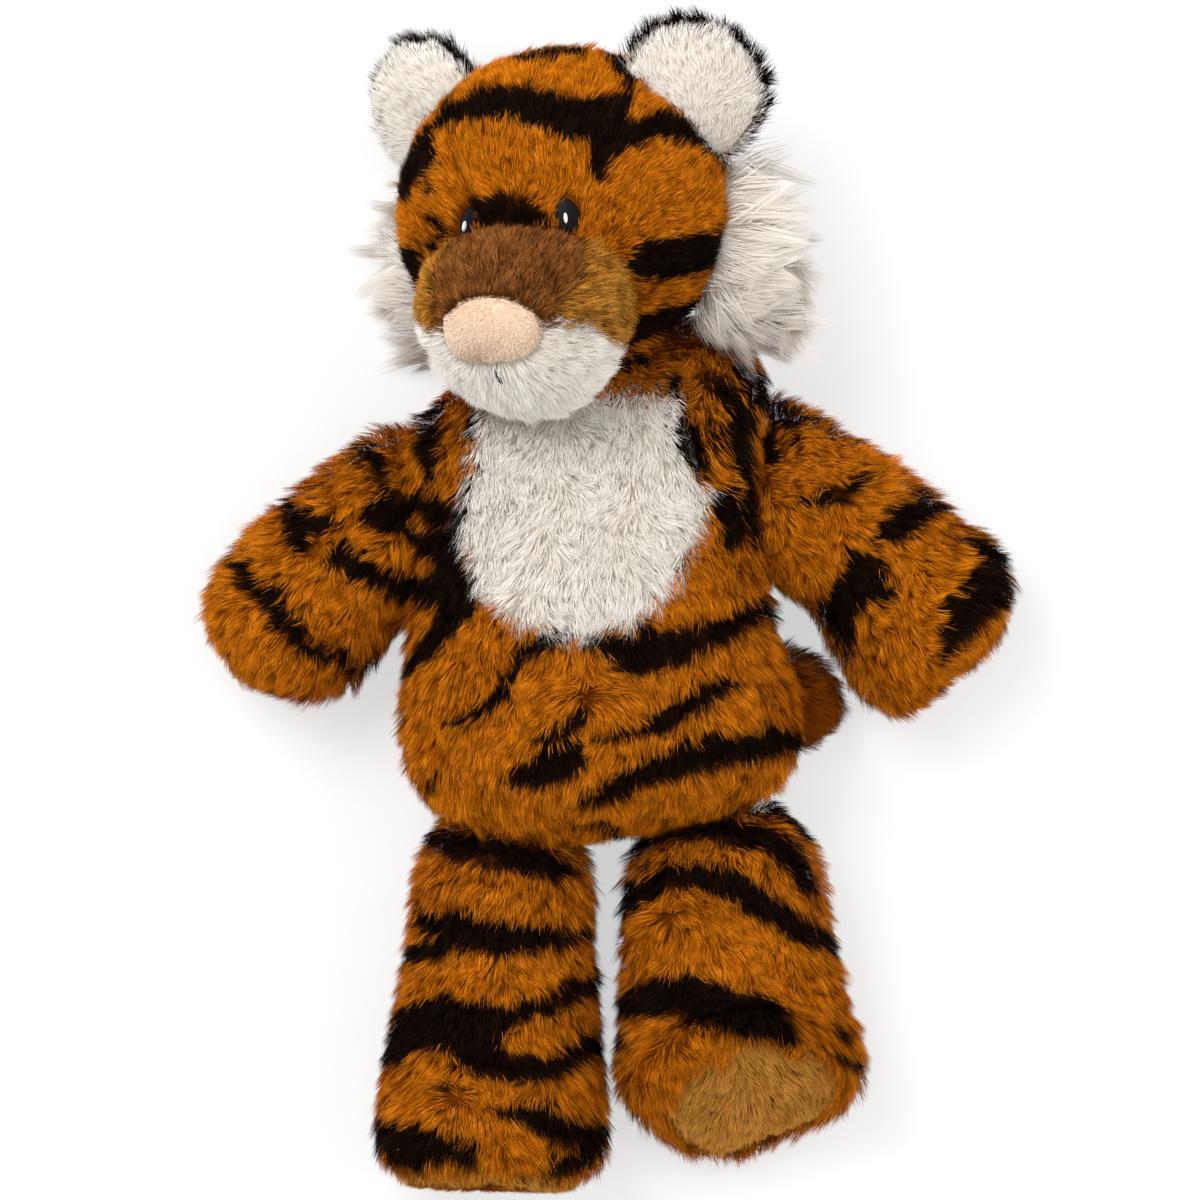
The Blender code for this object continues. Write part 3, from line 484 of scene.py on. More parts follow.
def hair_colour_and_shade_group():
    """The colour of a dyed hair, with painted light in it: darker at its root as painted shade down in the
    pile, its own colour along it, and lighter at some of the tips as a painted highlight.
    Some hairs, and whole patches of them, are painted nearer to the root colour as shade between tufts."""
    tree = bpy.data.node_groups.new("hair_colour_and_shade", "ShaderNodeTree")
    for name in ("Root Shade", "Full", "Lit Tip"):
        tree.interface.new_socket(name, in_out="INPUT", socket_type="NodeSocketColor")
    for name, value in (("Shade Patch Scale", 70.0), ("Shade Patch Depth", 0.35)):
        slider = tree.interface.new_socket(name, in_out="INPUT", socket_type="NodeSocketFloat")
        slider.default_value = value
    tree.interface.new_socket("Color", in_out="OUTPUT", socket_type="NodeSocketColor")
    tree.interface.new_socket("Roughness", in_out="OUTPUT", socket_type="NodeSocketFloat")
    given = shader_node(tree, "NodeGroupInput", (-4, 0))
    made = shader_node(tree, "NodeGroupOutput", (4, 0))
    root_shade, full, lit_tip = (given.outputs[name] for name in ("Root Shade", "Full", "Lit Tip"))
    tip = kept(tree, (-4, 2), "tip")
    hair = kept(tree, (-4, 3), "hair")
    # Painted shade: the colour darkens towards each hair's root, as down in the pile.
    rooted = ranged(tree, (-2, 2), tip, From_Min=0.1, From_Max=0.8)
    rooted.interpolation_type = "SMOOTHSTEP"
    body = mixed(tree, (-1, 0), rooted.outputs["Result"], root_shade, full)
    # Painted highlight: some tips are lightened, as where light catches them.
    tip_light = worked_out(tree, (-1, 3), "MULTIPLY", hair, tip)
    tipped = mixed(tree, (0, 0), tip_light, body, lit_tip)
    place = shader_node(tree, "ShaderNodeTexCoord", (-4, 4))
    shade_patch = shader_node(tree, "ShaderNodeTexNoise", (-2, 4), Detail=3.0, Roughness=0.6)
    tree.links.new(place.outputs["Object"], shade_patch.inputs["Vector"])
    tree.links.new(given.outputs["Shade Patch Scale"], shade_patch.inputs["Scale"])
    # Painted shade: noise patches, and some single hairs, are darkened towards the root colour as shade
    # between tufts.
    shade = ranged(tree, (0, 3), shade_patch.outputs["Fac"], From_Min=0.35, From_Max=0.65)
    low = ranged(tree, (0, 4), hair, From_Min=0.04, From_Max=0.3, To_Min=1.6, To_Max=0.0)
    either = worked_out(tree, (1, 4), "MAXIMUM", shade.outputs["Result"], low.outputs["Result"])
    depth = worked_out(tree, (1, 3), "MULTIPLY", either, given.outputs["Shade Patch Depth"])
    tree.links.new(mixed(tree, (2, 0), depth, tipped, root_shade), made.inputs["Color"])
    gloss = ranged(tree, (1, 5), hair, To_Min=0.62, To_Max=0.86)
    tree.links.new(gloss.outputs["Result"], made.inputs["Roughness"])
    return tree


hair_colour_and_shade = hair_colour_and_shade_group()


def plush(name, root_shade, full, lit_tip, scale=70.0, depth=0.3, shine=0.1, print_colours=None):
    """A plush material, from the colours of a hair's root, length and tip. The root colour is darker, as
    painted shade down in the pile, and the tip colour lighter, as a painted highlight; `scale` and `depth`
    size the patches of painted shade.
    With print colours, which are three more, the hairs whose dye is 1 take those."""
    material = bpy.data.materials.new(name)
    material.use_nodes = True
    tree = material.node_tree
    surface = tree.nodes["Principled BSDF"]
    surface.inputs["Specular IOR Level"].default_value = shine
    surface.inputs["IOR"].default_value = 1.15
    shades = []
    for k, colours in enumerate(filter(None, [(root_shade, full, lit_tip), print_colours])):
        shade = shader_node(tree, "ShaderNodeGroup", (-4, 2 * k))
        shade.node_tree = hair_colour_and_shade
        for socket, colour in zip(("Root Shade", "Full", "Lit Tip"), colours):
            shade.inputs[socket].default_value = srgb(*colour)
        shade.inputs["Shade Patch Scale"].default_value = scale
        shade.inputs["Shade Patch Depth"].default_value = depth
        shades.append(shade)
    colour = shades[0].outputs["Color"]
    if print_colours:
        colour = mixed(tree, (-2, 1), kept(tree, (-4, 4), "dye"), colour, shades[1].outputs["Color"])
    tree.links.new(colour, surface.inputs["Base Color"])
    tree.links.new(shades[0].outputs["Roughness"], surface.inputs["Roughness"])
    return material


def dress(part, body, material, slot, *pieces):
    """Pulls the pieces of a part into their lie, and gives them their material and their moving body."""
    for piece in pieces:
        places = coaxed(places_of(piece.data), part)
        piece.data.vertices.foreach_set("co", places.astype(np.float32).ravel())
        piece.data.update()
        piece.data.materials.append(material)
        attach(piece, body)


# Painted light: in each plush the first colour is a darker root, for painted shade, and the last a lighter
# tip, for a painted highlight; the print colours are laid out the same way.
striped_plush = plush(
    "striped_plush", (92, 34, 0), (224, 110, 0), (250, 163, 40), scale=240.0, depth=0.58, shine=0.05,
    print_colours=((5, 3, 2), (18, 11, 8), (46, 30, 18)))
# The pile underneath, which lies pressed on the floor, has fewer hairs, and broader ones.
UNDER_PILE = {"where": below, "per_mm2": 2.6, "blade": 0.24}
torso = cloth_from("torso_skin", "torso_cloth")
torso_print = printed("torso", TORSO_STRIPES, TORSO_BACK_STRIPES)
ground(torso, torso_print)
TORSO_COVERS = ("torso_stuffing", "seat_pellet_pouch", "neck_stuffing", "chest_bib", "head_skin", "tail",
                "arm_left_skin", "arm_right_skin", "leg_left_skin", "leg_right_skin")
WAIST = 0
torso_comb = combed((0, -1, 0), [(-1, -23, 16)])
chest = pile_on(torso, "torso_pile_chest", PILE, torso_comb, torso_print, TORSO_COVERS,
                lambda roots, up: above(roots, up) & (roots[:, 1] > WAIST), seed=21)
belly = pile_on(torso, "torso_pile_belly", PILE, torso_comb, torso_print, TORSO_COVERS,
                lambda roots, up: above(roots, up) & (roots[:, 1] <= WAIST), seed=21)
spine = pile_on(torso, "torso_pile_back", PILE, torso_comb, torso_print, TORSO_COVERS, **UNDER_PILE,
                seed=22)
dress("torso", "torso", striped_plush, "orange_plush", torso, chest, belly, spine)


# Chest bib. A rounded panel of white plush let into the chest, its pile combed down like the rest
# and a little shorter, so that the striped pile round it laps over its seam.

# Painted light: a darker root colour for shade and a lighter tip colour for a highlight.
white_plush = plush("white_plush", (214, 203, 186), (251, 245, 235), (255, 253, 248), depth=0.12)
bib = cloth_from("chest_bib", "bib_cloth")
ground(bib, None)
BIB_COVERS = ("torso_stuffing", "head_skin", "neck_stuffing")
right_of_left_edge = past([(-26, -1), (-34, 16), (-37, 33), (-34, 47), (-28, 60)])
past_right_edge = past([(14, -4), (22, 8), (32, 22), (32, 35), (27, 39), (20, 50), (22, 67)])


def lapped(roots, up):
    """The bib's margins, where the striped pile beside them laps over."""
    return past_right_edge(roots, up) | ~right_of_left_edge(roots, up)


bib_pile = pile_on(bib, "bib_pile", 7.5, combed((0.05, -1, 0)), None, BIB_COVERS,
                   lambda roots, up: ~lapped(roots, up), swirl=0.6, tuft=3.5, gather=0.3, soft=0.8, seed=31)
bib_margin = pile_on(bib, "bib_margin_pile", PILE, torso_comb, torso_print, BIB_COVERS, lapped, seed=31)
dress("torso", "torso", white_plush, "white_plush", bib, bib_pile)
dress("torso", "torso", striped_plush, "orange_plush", bib_margin)


# Neck. A short sleeve of the striped plush that joins the head to the torso, filled like them. Only
# a little of it shows, beside the chin.

NECK_STRIPES = [
    [(-20, 84, 2), (4, 80, 3), (28, 88, 2.5)],
    [(2, 70, 2), (24, 72, 3)],
]
neck = cloth_from("neck_stuffing", "neck_cloth")
neck_print = printed("torso", NECK_STRIPES)
ground(neck, neck_print)
neck_pile = pile_on(neck, "neck_pile", 9, combed((0.6, -0.4, 0.2)), neck_print,
                    ("torso_stuffing", "head_stuffing"), per_mm2=4, blade=0.2, lean=40, seed=37)
dress("torso", "neck", striped_plush, "orange_plush", neck, neck_pile)


# Arms. Each is a flat mitten of the striped plush, turned, part filled, and set into the side seam
# of the torso at the shoulder. The pile runs out to the paw, where it sticks out past the end.

ARM_LEFT_STRIPES = [
    [(-47, 60, 2.8), (-46, 52, 4.2), (-46, 45, 3.6), (-45, 39, 1.4)],
    [(-31, 57, 2), (-33, 53, 2.5), (-35, 49, 1.4)],
    [(-66, 48, 2.2), (-63, 46, 3.6), (-60, 43, 3.1), (-59, 38, 1.7)],
    [(-86, 32, 2), (-83, 26, 5), (-82, 19, 2)],
    [(-82, 26, 3.9), (-76, 26, 3.1), (-71, 26, 0.8)],
    [(-63, 27, 2.8), (-56, 29, 6.6), (-48, 26, 6.4), (-40, 21, 4)],
    [(-71, 18, 3.4), (-64, 13, 4), (-56, 9, 4.2), (-48, 5, 4.6), (-41, 4, 4)],
    [(-102, 17, 1.1), (-98, 13, 3.4), (-95, 7, 2.2)],
    [(-94, 9, 2), (-88, 2, 3.4), (-83, -6, 3.1), (-76, -11, 2.5), (-67, -14, 2.5), (-59, -14, 1.4)],
    [(-92, 8, 2), (-88, 8, 2.2)],
]
ARM_RIGHT_STRIPES = [
    [(42, 61, 4.5), (50, 58, 5), (57, 57, 3.4), (63, 55, 1.4)],
    [(42, 55, 4.2), (46, 50, 3.9), (50, 45, 2.8)],
    [(55, 51, 1.4), (58, 50, 2.2)],
    [(59, 32, 1.1), (67, 33, 2.5), (72, 36, 2.8), (78, 41, 1.4)],
    [(81, 23, 2.5), (87, 27, 5), (93, 31, 5), (98, 31, 2)],
    [(109, 22, 2), (114, 16, 5.6), (112, 8, 7.6), (106, 2, 6.7), (102, -4, 4.2), (99, -11, 1.7)],
    [(72, 17, 2), (77, 11, 5.6), (73, 7, 5.9), (68, 1, 4.8), (70, -6, 2.8), (72, -12, 1.1)],
    [(77, 11, 4.5), (82, 8, 3.6)],
]
PULLS["arm_left"] = [(-85, 39, 22, 1.5, -3.5), (-55, 52, 12, 3, 5)]
PULLS["arm_right"] = [(51, 58, 13, 0, 5.5), (46, 56, 9, -3, 3), (78, 53, 20, -1.5, -3), (58, 2, 18, 2, 3),
                      (114, 16, 14, 3, 3), (88, -26, 12, 0, -3), (106, -20, 14, -3, 3)]
for side, stripes, heading, swirls in (
        ("left", ARM_LEFT_STRIPES, (-0.62, -0.78, 0), [(-78, 20, 12)]),
        ("right", ARM_RIGHT_STRIPES, (0.72, -0.7, 0), [(70, 34, 10)])):
    arm = cloth_from(f"arm_{side}_skin", f"arm_{side}_cloth")
    arm_print = printed(f"arm_{side}", stripes)
    ground(arm, arm_print)
    covers = (f"arm_{side}_stuffing", f"arm_{side}_pellet_pouch", "torso_skin")
    comb = combed(heading, swirls)
    arm_front = pile_on(arm, f"arm_{side}_pile_front", PILE, comb, arm_print, covers, above, tuft=4.5,
                        gather=0.58, uneven=0.26, seed=41)
    arm_back = pile_on(arm, f"arm_{side}_pile_back", PILE, comb, arm_print, covers, **UNDER_PILE, seed=42)
    dress(f"arm_{side}", f"arm_{side}", striped_plush, "orange_plush", arm, arm_front, arm_back)


# Legs. Each is a wide tube of the striped plush, set into the bottom seam of the torso. The left one
# lies with its toe down, so its hem of plain orange shows, and the right foot points up.

LEG_LEFT_STRIPES = [
    [(-47, -61, 3.1), (-36, -64, 5), (-24, -66, 5), (-13, -68, 4.8), (-6, -70, 3.4)],
    [(-6, -62, 2), (-3, -61, 2.2)],
    [(-47, -86, 3.4), (-36, -87, 5.3), (-26, -90, 5), (-17, -90, 3.9), (-1, -89, 2)],
    [(-54, -95, 1.7), (-45, -93, 3.6), (-38, -90, 2.8)],
    [(-58, -123, 3.4), (-50, -115, 7.3), (-41, -113, 8.4), (-31, -113, 6.2), (-22, -111, 3.4),
     (-11, -108, 3.4), (2, -102, 3.1)],
    [(-34, -120, 6.2), (-23, -125, 4.5), (-11, -125, 3.9), (3, -119, 3.6)],
    [(-60, -146, 5.3), (-50, -148, 6.7), (-41, -148, 4.5), (-34, -150, 3.4)],
    [(-26, -137, 1.7), (-15, -139, 3.9), (-7, -144, 4.5), (4, -145, 3.6)],
    [(-12, -155, 2), (-3, -152, 3.4), (2, -149, 2.8)],
    [(-45, -130, 1.1), (-38, -133, 2.2)],
]
LEG_RIGHT_STRIPES = [
    [(21, -51, 0.8), (32, -49, 2), (46, -50, 3.4), (56, -52, 3.4), (62, -62, 2)],
    [(7, -67, 2), (15, -59, 4.2), (25, -57, 4.8), (36, -59, 3.9), (49, -62, 3.6), (57, -67, 3.6),
     (61, -76, 2)],
    [(6, -84, 2.2), (11, -78, 3.4), (20, -73, 3.6), (29, -72, 3.6), (39, -74, 3.9), (49, -81, 4.2),
     (59, -87, 4.2), (69, -93, 2.8)],
    [(6, -110, 3.6), (16, -106, 5.6), (27, -105, 6.7), (36, -109, 6.7), (49, -112, 6.7), (55, -117, 3.4)],
    [(67, -114, 0.8), (72, -118, 2)],
    [(67, -123, 0.8), (74, -125, 2.2), (77, -128, 1.4)],
    [(6, -115, 0.8), (8, -120, 1.4)],
]
PULLS["leg_left"] = [(1, -107, 45, 1, 0), (-57, -153, 14, -3, -3), (-1, -153, 14, 3.5, -3)]
PULLS["leg_right"] = [(8, -101, 40, -1.8, 0), (36, -153, 14, 0, -4), (44, -127, 17, 0, 11),
                      (60, -133, 10, 6.5, 2)]
for side, stripes, heading, swirls in (
        ("left", LEG_LEFT_STRIPES, (-0.05, -1, 0), [(-38, -134, 12)]),
        ("right", LEG_RIGHT_STRIPES, (0.05, -1, 0), [(24, -84, 12), (26, -112, 12)])):
    leg = cloth_from(f"leg_{side}_skin", f"leg_{side}_cloth")
    leg_print = printed(f"leg_{side}", stripes)
    ground(leg, leg_print)
    covers = (f"leg_{side}_stuffing", f"leg_{side}_pellet_pouch", f"leg_{side}_sole", "torso_skin")
    comb = combed(heading, swirls)
    leg_front = pile_on(leg, f"leg_{side}_pile_front", PILE, comb, leg_print, covers, above, seed=51)
    leg_back = pile_on(leg, f"leg_{side}_pile_back", PILE, comb, leg_print, covers, **UNDER_PILE, seed=52)
    dress(f"leg_{side}", f"leg_{side}", striped_plush, "orange_plush", leg, leg_front, leg_back)


# Soles. An oval pad of tan plush with a short, dense pile closes the end of each leg. It is sewn in
# all round, and its pile is combed down and a little outwards to the seam.

# Painted light: a darker root colour for shade and a lighter tip colour for a highlight.
tan_plush = plush("tan_plush", (128, 70, 10), (212, 138, 44), (232, 176, 90), scale=140.0, depth=0.35)
for side in ("left", "right"):
    sole = cloth_from(f"leg_{side}_sole", f"leg_{side}_sole_cloth")
    ground(sole, None)
    middle = sum(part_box(f"leg_{side}_sole"), Vector()) / 2
    comb = combed((0.1, -0.8, 0), away=middle, pull=0.5)
    sole_pile = pile_on(sole, f"leg_{side}_sole_pile", 3.6, comb, None, (f"leg_{side}_skin",), per_mm2=8,
                        lean=52, tuft=1.2, gather=0.3, seed=61)
    dress(f"leg_{side}", f"leg_{side}", tan_plush, "sole_plush", sole, sole_pile)


# Tail. A short round stub of plain rust plush, filled with fibre and sewn into the side seam of the
# torso, low on its back, so that it peeps out beside the hip.

# Painted light: a darker root colour for shade and a lighter tip colour for a highlight.
rust_plush = plush("rust_plush", (54, 18, 0), (128, 58, 4), (156, 84, 20), shine=0.06)
tail = cloth_from("tail", "tail_cloth")
ground(tail, None)
tail_pile = pile_on(tail, "tail_pile", PILE, combed((1, -0.45, 0)), None, ("torso_skin",), seed=71)
dress("tail", "tail", rust_plush, "rust_plush", tail, tail_pile)


# Head. A round ball of the striped plush, firmly filled. Its pile is shorter on the face, and is
# combed back from the muzzle over the crown and the cheeks.

HEAD_STRIPES = [
    [(-22, 156, 1.1), (-15, 157, 2), (-8, 158, 2), (-2, 158, 1.1)],
    [(-44, 136, 1.1), (-40, 141, 3.4), (-30, 143, 5), (-22, 143, 5), (-13, 141, 5.6), (-5, 138, 6.2),
     (4, 138, 6.7), (8, 142, 3.9), (11, 145, 1.4)],
    [(3, 134, 4.2), (3, 127, 3.4), (2, 122, 2)],
    [(4, 130, 3.6), (12, 134, 4.2), (19, 136, 4.2), (26, 136, 3.4), (32, 132, 2.8), (36, 129, 2.2),
     (40, 125, 1.4)],
    [(5, 157, 2), (9, 153, 2.5), (11, 147, 1.4)],
    [(-46, 136, 2), (-48, 128, 4.8), (-51, 123, 4.5), (-53, 118, 2)],
    [(-46, 120, 0.8), (-46, 118, 1.7)],
    [(-33, 113.5, 2.2), (-28, 114, 3.8), (-22, 112.5, 4.2), (-16, 110.5, 3.2), (-12, 110, 1.4)],
    [(-32, 110, 1.6), (-25, 109.5, 2.6), (-18, 108.5, 2)],
    [(-47, 113, 0.8), (-43, 109, 1.7), (-41, 106, 1.7), (-45, 102, 2)],
    [(-55, 102, 2.6), (-52, 99, 4.6), (-50, 95, 3)],
    [(10, 97, 2.2), (18, 99, 5.9), (25, 100, 5.6), (32, 101, 5), (38, 104, 3.9), (43, 101, 1.4)],
    [(9, 78, 3.2), (18, 81, 4.0), (27, 84, 3.8), (34, 88, 2.8), (39, 94, 1.2)],
]
HEAD_BACK_STRIPES = [
    [(-43, 146, 1.4), (-20, 148, 3.4), (2, 147, 3.4), (30, 142, 2)],
    [(-52, 128, 2.2), (-31, 124, 3.6), (-6, 126, 4.2), (19, 123, 3.6), (40, 125, 2.2)],
    [(-54, 109, 2), (-34, 106, 3.9), (-9, 107, 3.4), (13, 104, 3.9), (42, 108, 2)],
    [(-51, 89, 2), (-26, 87, 3.4), (-1, 89, 3.9), (36, 90, 2)],
    [(-45, 74, 1.7), (-20, 72, 2.8), (13, 75, 2.8), (30, 77, 1.4)],
]
PULLS["head"] = [(27, 151, 22, 2, 0), (-26, 68, 8, -2.2, 1.4), (-37, 111, 7, 2, 0)]
muzzle_root = sum(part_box("muzzle_stuffing"), Vector()) / 2
head = cloth_from("head_skin", "head_cloth")
head_print = printed("head", HEAD_STRIPES, HEAD_BACK_STRIPES)
ground(head, head_print)
HEAD_COVERS = ("head_stuffing", "muzzle_bridge", "muzzle_left", "muzzle_right", "muzzle_chin",
               "neck_stuffing", "muzzle_stuffing", "ear_left_front", "ear_left_back", "ear_right_front",
               "ear_right_back", "cheek_mane_left", "cheek_mane_right", "torso_skin", "chest_bib",
               "eye_left", "eye_right")
FACE_PILE = {"length": 5.2, "per_mm2": 7, "lean": 48, "gather": 0.3, "seed": 81}
BROW = 122 * MM
head_comb = combed((0, 0, 0), away=muzzle_root)
crown = pile_on(head, "head_pile_crown", comb=head_comb, dye=head_print, covers=HEAD_COVERS,
                where=lambda roots, up: above(roots, up) & (roots[:, 1] > BROW), **FACE_PILE)
face = pile_on(head, "head_pile_face", comb=head_comb, dye=head_print, covers=HEAD_COVERS,
               where=lambda roots, up: above(roots, up) & (roots[:, 1] <= BROW), **FACE_PILE)
head_back = pile_on(head, "head_pile_back", PILE, head_comb, head_print, HEAD_COVERS, **UNDER_PILE, seed=82)
dress("head", "head", striped_plush, "orange_plush", head, crown, face, head_back)


# Muzzle. Four panels sewn into a snout: a dark brown bridge, a tan one at each side and a white chin.
# Their pile is short and dense, and runs back from the nose.

nose_middle = sum(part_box("nose"), Vector()) / 2
# Painted light: in both, a darker root colour for shade and a lighter tip colour for a highlight.
brown_plush = plush("brown_plush", (40, 16, 2), (138, 74, 22), (196, 130, 70), scale=260.0, depth=0.6)
side_plush = plush("muzzle_tan_plush", (52, 22, 0), (208, 122, 12), (246, 186, 88), scale=260.0, depth=0.75)
MUZZLE_COVERS = ("muzzle_stuffing", "head_skin", "head_stuffing", "nose", "chest_bib")
right_of_bridge = past([(-14, 80), (-13, 83), (-5, 92), (-4, 103), (-6, 110)])
over_chin = past([(-60, 92), (-15, 92), (-13, 83), (11, 75)], along=0)


def muzzle_pile(cloth, name, length, heading, where=None):
    """The short pile of a muzzle panel, or of the part of it that `where` picks."""
    return pile_on(cloth, name, length, combed(heading, away=nose_middle), None, MUZZLE_COVERS, where,
                   per_mm2=8, blade=0.15, lean=56, tuft=1.8, gather=0.35, swirl=0.3, seed=91)


bridge, left_side, right_side, chin = (
    cloth_from(f"muzzle_{panel}", f"muzzle_{panel}_cloth") for panel in ("bridge", "left", "right", "chin"))
for panel in (bridge, left_side, right_side, chin):
    ground(panel, None)
bridge_pile = muzzle_pile(bridge, "muzzle_bridge_pile", 4.4, (0, 0.5, 0))
bridge_lap = muzzle_pile(right_side, "muzzle_bridge_lap_pile", 4.4, (0, 0.5, 0),
                         lambda roots, up: ~right_of_bridge(roots, up))
left_pile = muzzle_pile(left_side, "muzzle_left_pile", 5, (0, -0.3, 0))
right_pile = muzzle_pile(right_side, "muzzle_right_pile", 6.5, (0, -0.2, 0), right_of_bridge)
right_lap = muzzle_pile(chin, "muzzle_right_lap_pile", 6.5, (0, -0.2, 0), over_chin)
chin_pile = muzzle_pile(chin, "muzzle_chin_pile", 5.4, (0, 0.1, 0), lambda roots, up: ~over_chin(roots, up))
dress("head", "head", brown_plush, "brown_plush", bridge, bridge_pile, bridge_lap)
dress("head", "head", side_plush, "tan_plush", left_side, right_side, left_pile, right_pile, right_lap)
dress("head", "head", white_plush, "white_plush", chin, chin_pile)


# Nose. A plump pad of peach velour, filled with fibre and sewn on where the muzzle's panels meet. Its
# pile is very short and stands nearly straight.

# Painted light: a darker root colour for shade and a lighter tip colour for a highlight.
nose_plush = plush("nose_plush", (236, 204, 175), (248, 222, 193), (254, 238, 218), scale=160.0, depth=0.12)
nose = cloth_from("nose", "nose_cloth")
ground(nose, None, tip=0.9)
nose_pile = pile_on(nose, "nose_pile", 1.5, combed((0, -1, 0)), where=above, per_mm2=16, blade=0.14,
                    lean=30, tuft=0.6, gather=0.4, swirl=0.7, seed=101)
dress("head", "head", nose_plush, "nose_plush", nose, nose_pile)


# Eyes and mouth. Machine embroidery in rayon thread: each eye is an oval of dark satin stitches with
# a light stitch on it, and the mouth is one short dark stitch under the nose.


def axes_of(name):
    """The middle of a small flat node and its long, short and thin half sizes as world arrows."""
    places = places_of(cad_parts[name].data)
    middle = (places.max(0) + places.min(0)) / 2
    arrows = np.linalg.svd(places - places.mean(0), full_matrices=False)[2]
    arrows[0] *= np.sign(arrows[0][1])
    arrows[2] *= np.sign(arrows[2][2])
    arrows[1] = np.cross(arrows[0], arrows[2])
    halves = [np.abs((places - middle) @ arrow).max() for arrow in arrows]
    return middle, arrows, halves


# How far each thread stands out of its pad, as a share of the pad's half width.
RIDGE = 0.025


def satin(name, stands_for, material, slot, threads, grow=1.0, lift=0.0):
    """A pad of satin stitches: a domed oval, ridged by its threads, which run across it. `grow` is its
    size beside that of its node, and `lift` how far it stands off the cloth."""
    middle, arrows, halves = axes_of(stands_for)
    bpy.ops.object.select_all(action="DESELECT")
    bpy.ops.mesh.primitive_uv_sphere_add(segments=40, ring_count=8 * threads, radius=1)
    pad = bpy.context.active_object
    pad.name = name
    pad.data.name = name
    along, across, out = arrows
    scaled = np.column_stack([across * halves[1] * grow, out * halves[2], along * halves[0] * grow])
    shape = Matrix(scaled.tolist()).to_4x4()
    shape.translation = Vector(middle + out * lift)
    for vertex in pad.data.vertices:
        ridge = 1 + RIDGE * math.cos(2 * math.pi * threads * (vertex.co.z * 0.5 + 0.5))
        vertex.co.x *= ridge
        vertex.co.y *= ridge
    pad.matrix_world = shape
    bpy.ops.object.transform_apply(location=True, rotation=True, scale=True)
    bpy.ops.object.mode_set(mode="EDIT")
    bpy.ops.mesh.select_all(action="SELECT")
    bpy.ops.mesh.normals_make_consistent(inside=False)
    bpy.ops.object.mode_set(mode="OBJECT")
    bpy.ops.object.shade_smooth()
    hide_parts(stands_for)
    dress("head", "head", material, slot, pad)


def thread(name, dark, light):
    """Shiny rayon thread, with its twist as a fine bump."""
    material = bpy.data.materials.new(name)
    material.use_nodes = True
    tree = material.node_tree
    surface = tree.nodes["Principled BSDF"]
    surface.inputs["Roughness"].default_value = 0.4
    surface.inputs["Specular IOR Level"].default_value = 0.12
    place = shader_node(tree, "ShaderNodeTexCoord", (-5, 0))
    twist = shader_node(tree, "ShaderNodeTexNoise", (-4, 0), Scale=2600.0, Detail=2.0)
    tree.links.new(place.outputs["Object"], twist.inputs["Vector"])
    colour = mixed(tree, (-2, 0), twist.outputs["Fac"], srgb(*dark), srgb(*light))
    tree.links.new(colour, surface.inputs["Base Color"])
    bump = shader_node(tree, "ShaderNodeBump", (-2, 2), Strength=0.4, Distance=0.05 * MM)
    tree.links.new(twist.outputs["Fac"], bump.inputs["Height"])
    tree.links.new(bump.outputs["Normal"], surface.inputs["Normal"])
    return material


dark_thread = thread("dark_thread", (4, 3, 3), (20, 15, 13))
white_thread = thread("white_thread", (214, 212, 208), (250, 250, 248))
for side in ("left", "right"):
    satin(f"eye_{side}_stitches", f"eye_{side}", dark_thread, "embroidery", 20, lift=0.5 * MM)
    satin(f"eye_{side}_light", f"eye_glint_{side}", white_thread, "white_thread", 5, grow=0.7, lift=0.8 * MM)
satin("mouth_thread", "mouth_stitch", dark_thread, "embroidery", 5, lift=0.8 * MM)


# Ears. Two rounds of plush sewn rim to rim, white in front and black behind, with the black pile
# standing out past the rim.

# Painted light: a darker root colour for shade and a lighter tip colour for a highlight.
black_plush = plush("black_plush", (4, 3, 3), (15, 11, 10), (42, 32, 26), depth=0.2, shine=0.06)
for side, base in (("left", (-37 * MM, 118 * MM, 34 * MM)), ("right", (24 * MM, 124 * MM, 34 * MM))):
    front = cloth_from(f"ear_{side}_front", f"ear_{side}_front_cloth")
    back = cloth_from(f"ear_{side}_back", f"ear_{side}_back_cloth")
    ground(front, None)
    ground(back, None)
    fan = combed((0, 0, 0), away=base)
    front_pile = pile_on(front, f"ear_{side}_front_pile", 4.5, fan, None, (f"ear_{side}_back", "head_skin"),
                         lean=48, gather=0.3, soft=0.8, seed=111)
    back_pile = pile_on(back, f"ear_{side}_back_pile", 8.5, fan, None, (f"ear_{side}_front", "head_skin"),
                        blade=0.2, lean=66, seed=112)
    dress("head", "head", white_plush, "white_plush", front, front_pile)
    dress("head", "head", black_plush, "dark_plush", back, back_pile)


# Cheek manes. A tuft of long white fur sewn into the seam behind each cheek. It fans out from the
# head and falls into pointed locks.

# Painted light: a darker root colour for shade and a lighter tip colour for a highlight.
mane_fur = plush("mane_fur", (214, 204, 190), (243, 236, 225), (254, 250, 244), depth=0.12)
head_middle = sum(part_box("head_stuffing"), Vector()) / 2
for side, fall, length in (("left", (-0.9, 0.6, 0), 17), ("right", (0.35, 0.0, 0), 17.5)):
    mane = cloth_from(f"cheek_mane_{side}", f"cheek_mane_{side}_cloth")
    ground(mane, None)
    covers = ("head_skin", f"ear_{side}_back", f"ear_{side}_front")
    locks = pile_on(mane, f"cheek_mane_{side}_locks", length, combed(fall, away=head_middle, pull=1.6), None,
                    covers, per_mm2=8, blade=0.2, lean=70, tuft=7, gather=0.8, swirl=0.4, uneven=0.35,
                    soft=0.7, seed=121)
    dress("head", "head", mane_fur, "white_plush", mane, locks)


# Stuffing. Loose polyester fibre fills every part, and pouches of plastic pellets lie in the seat,
# the paws and the feet, which makes the toy floppy and lets it sit. None of it shows outside.

# What the pressed filling keeps of its size.
PRESSED = 0.92


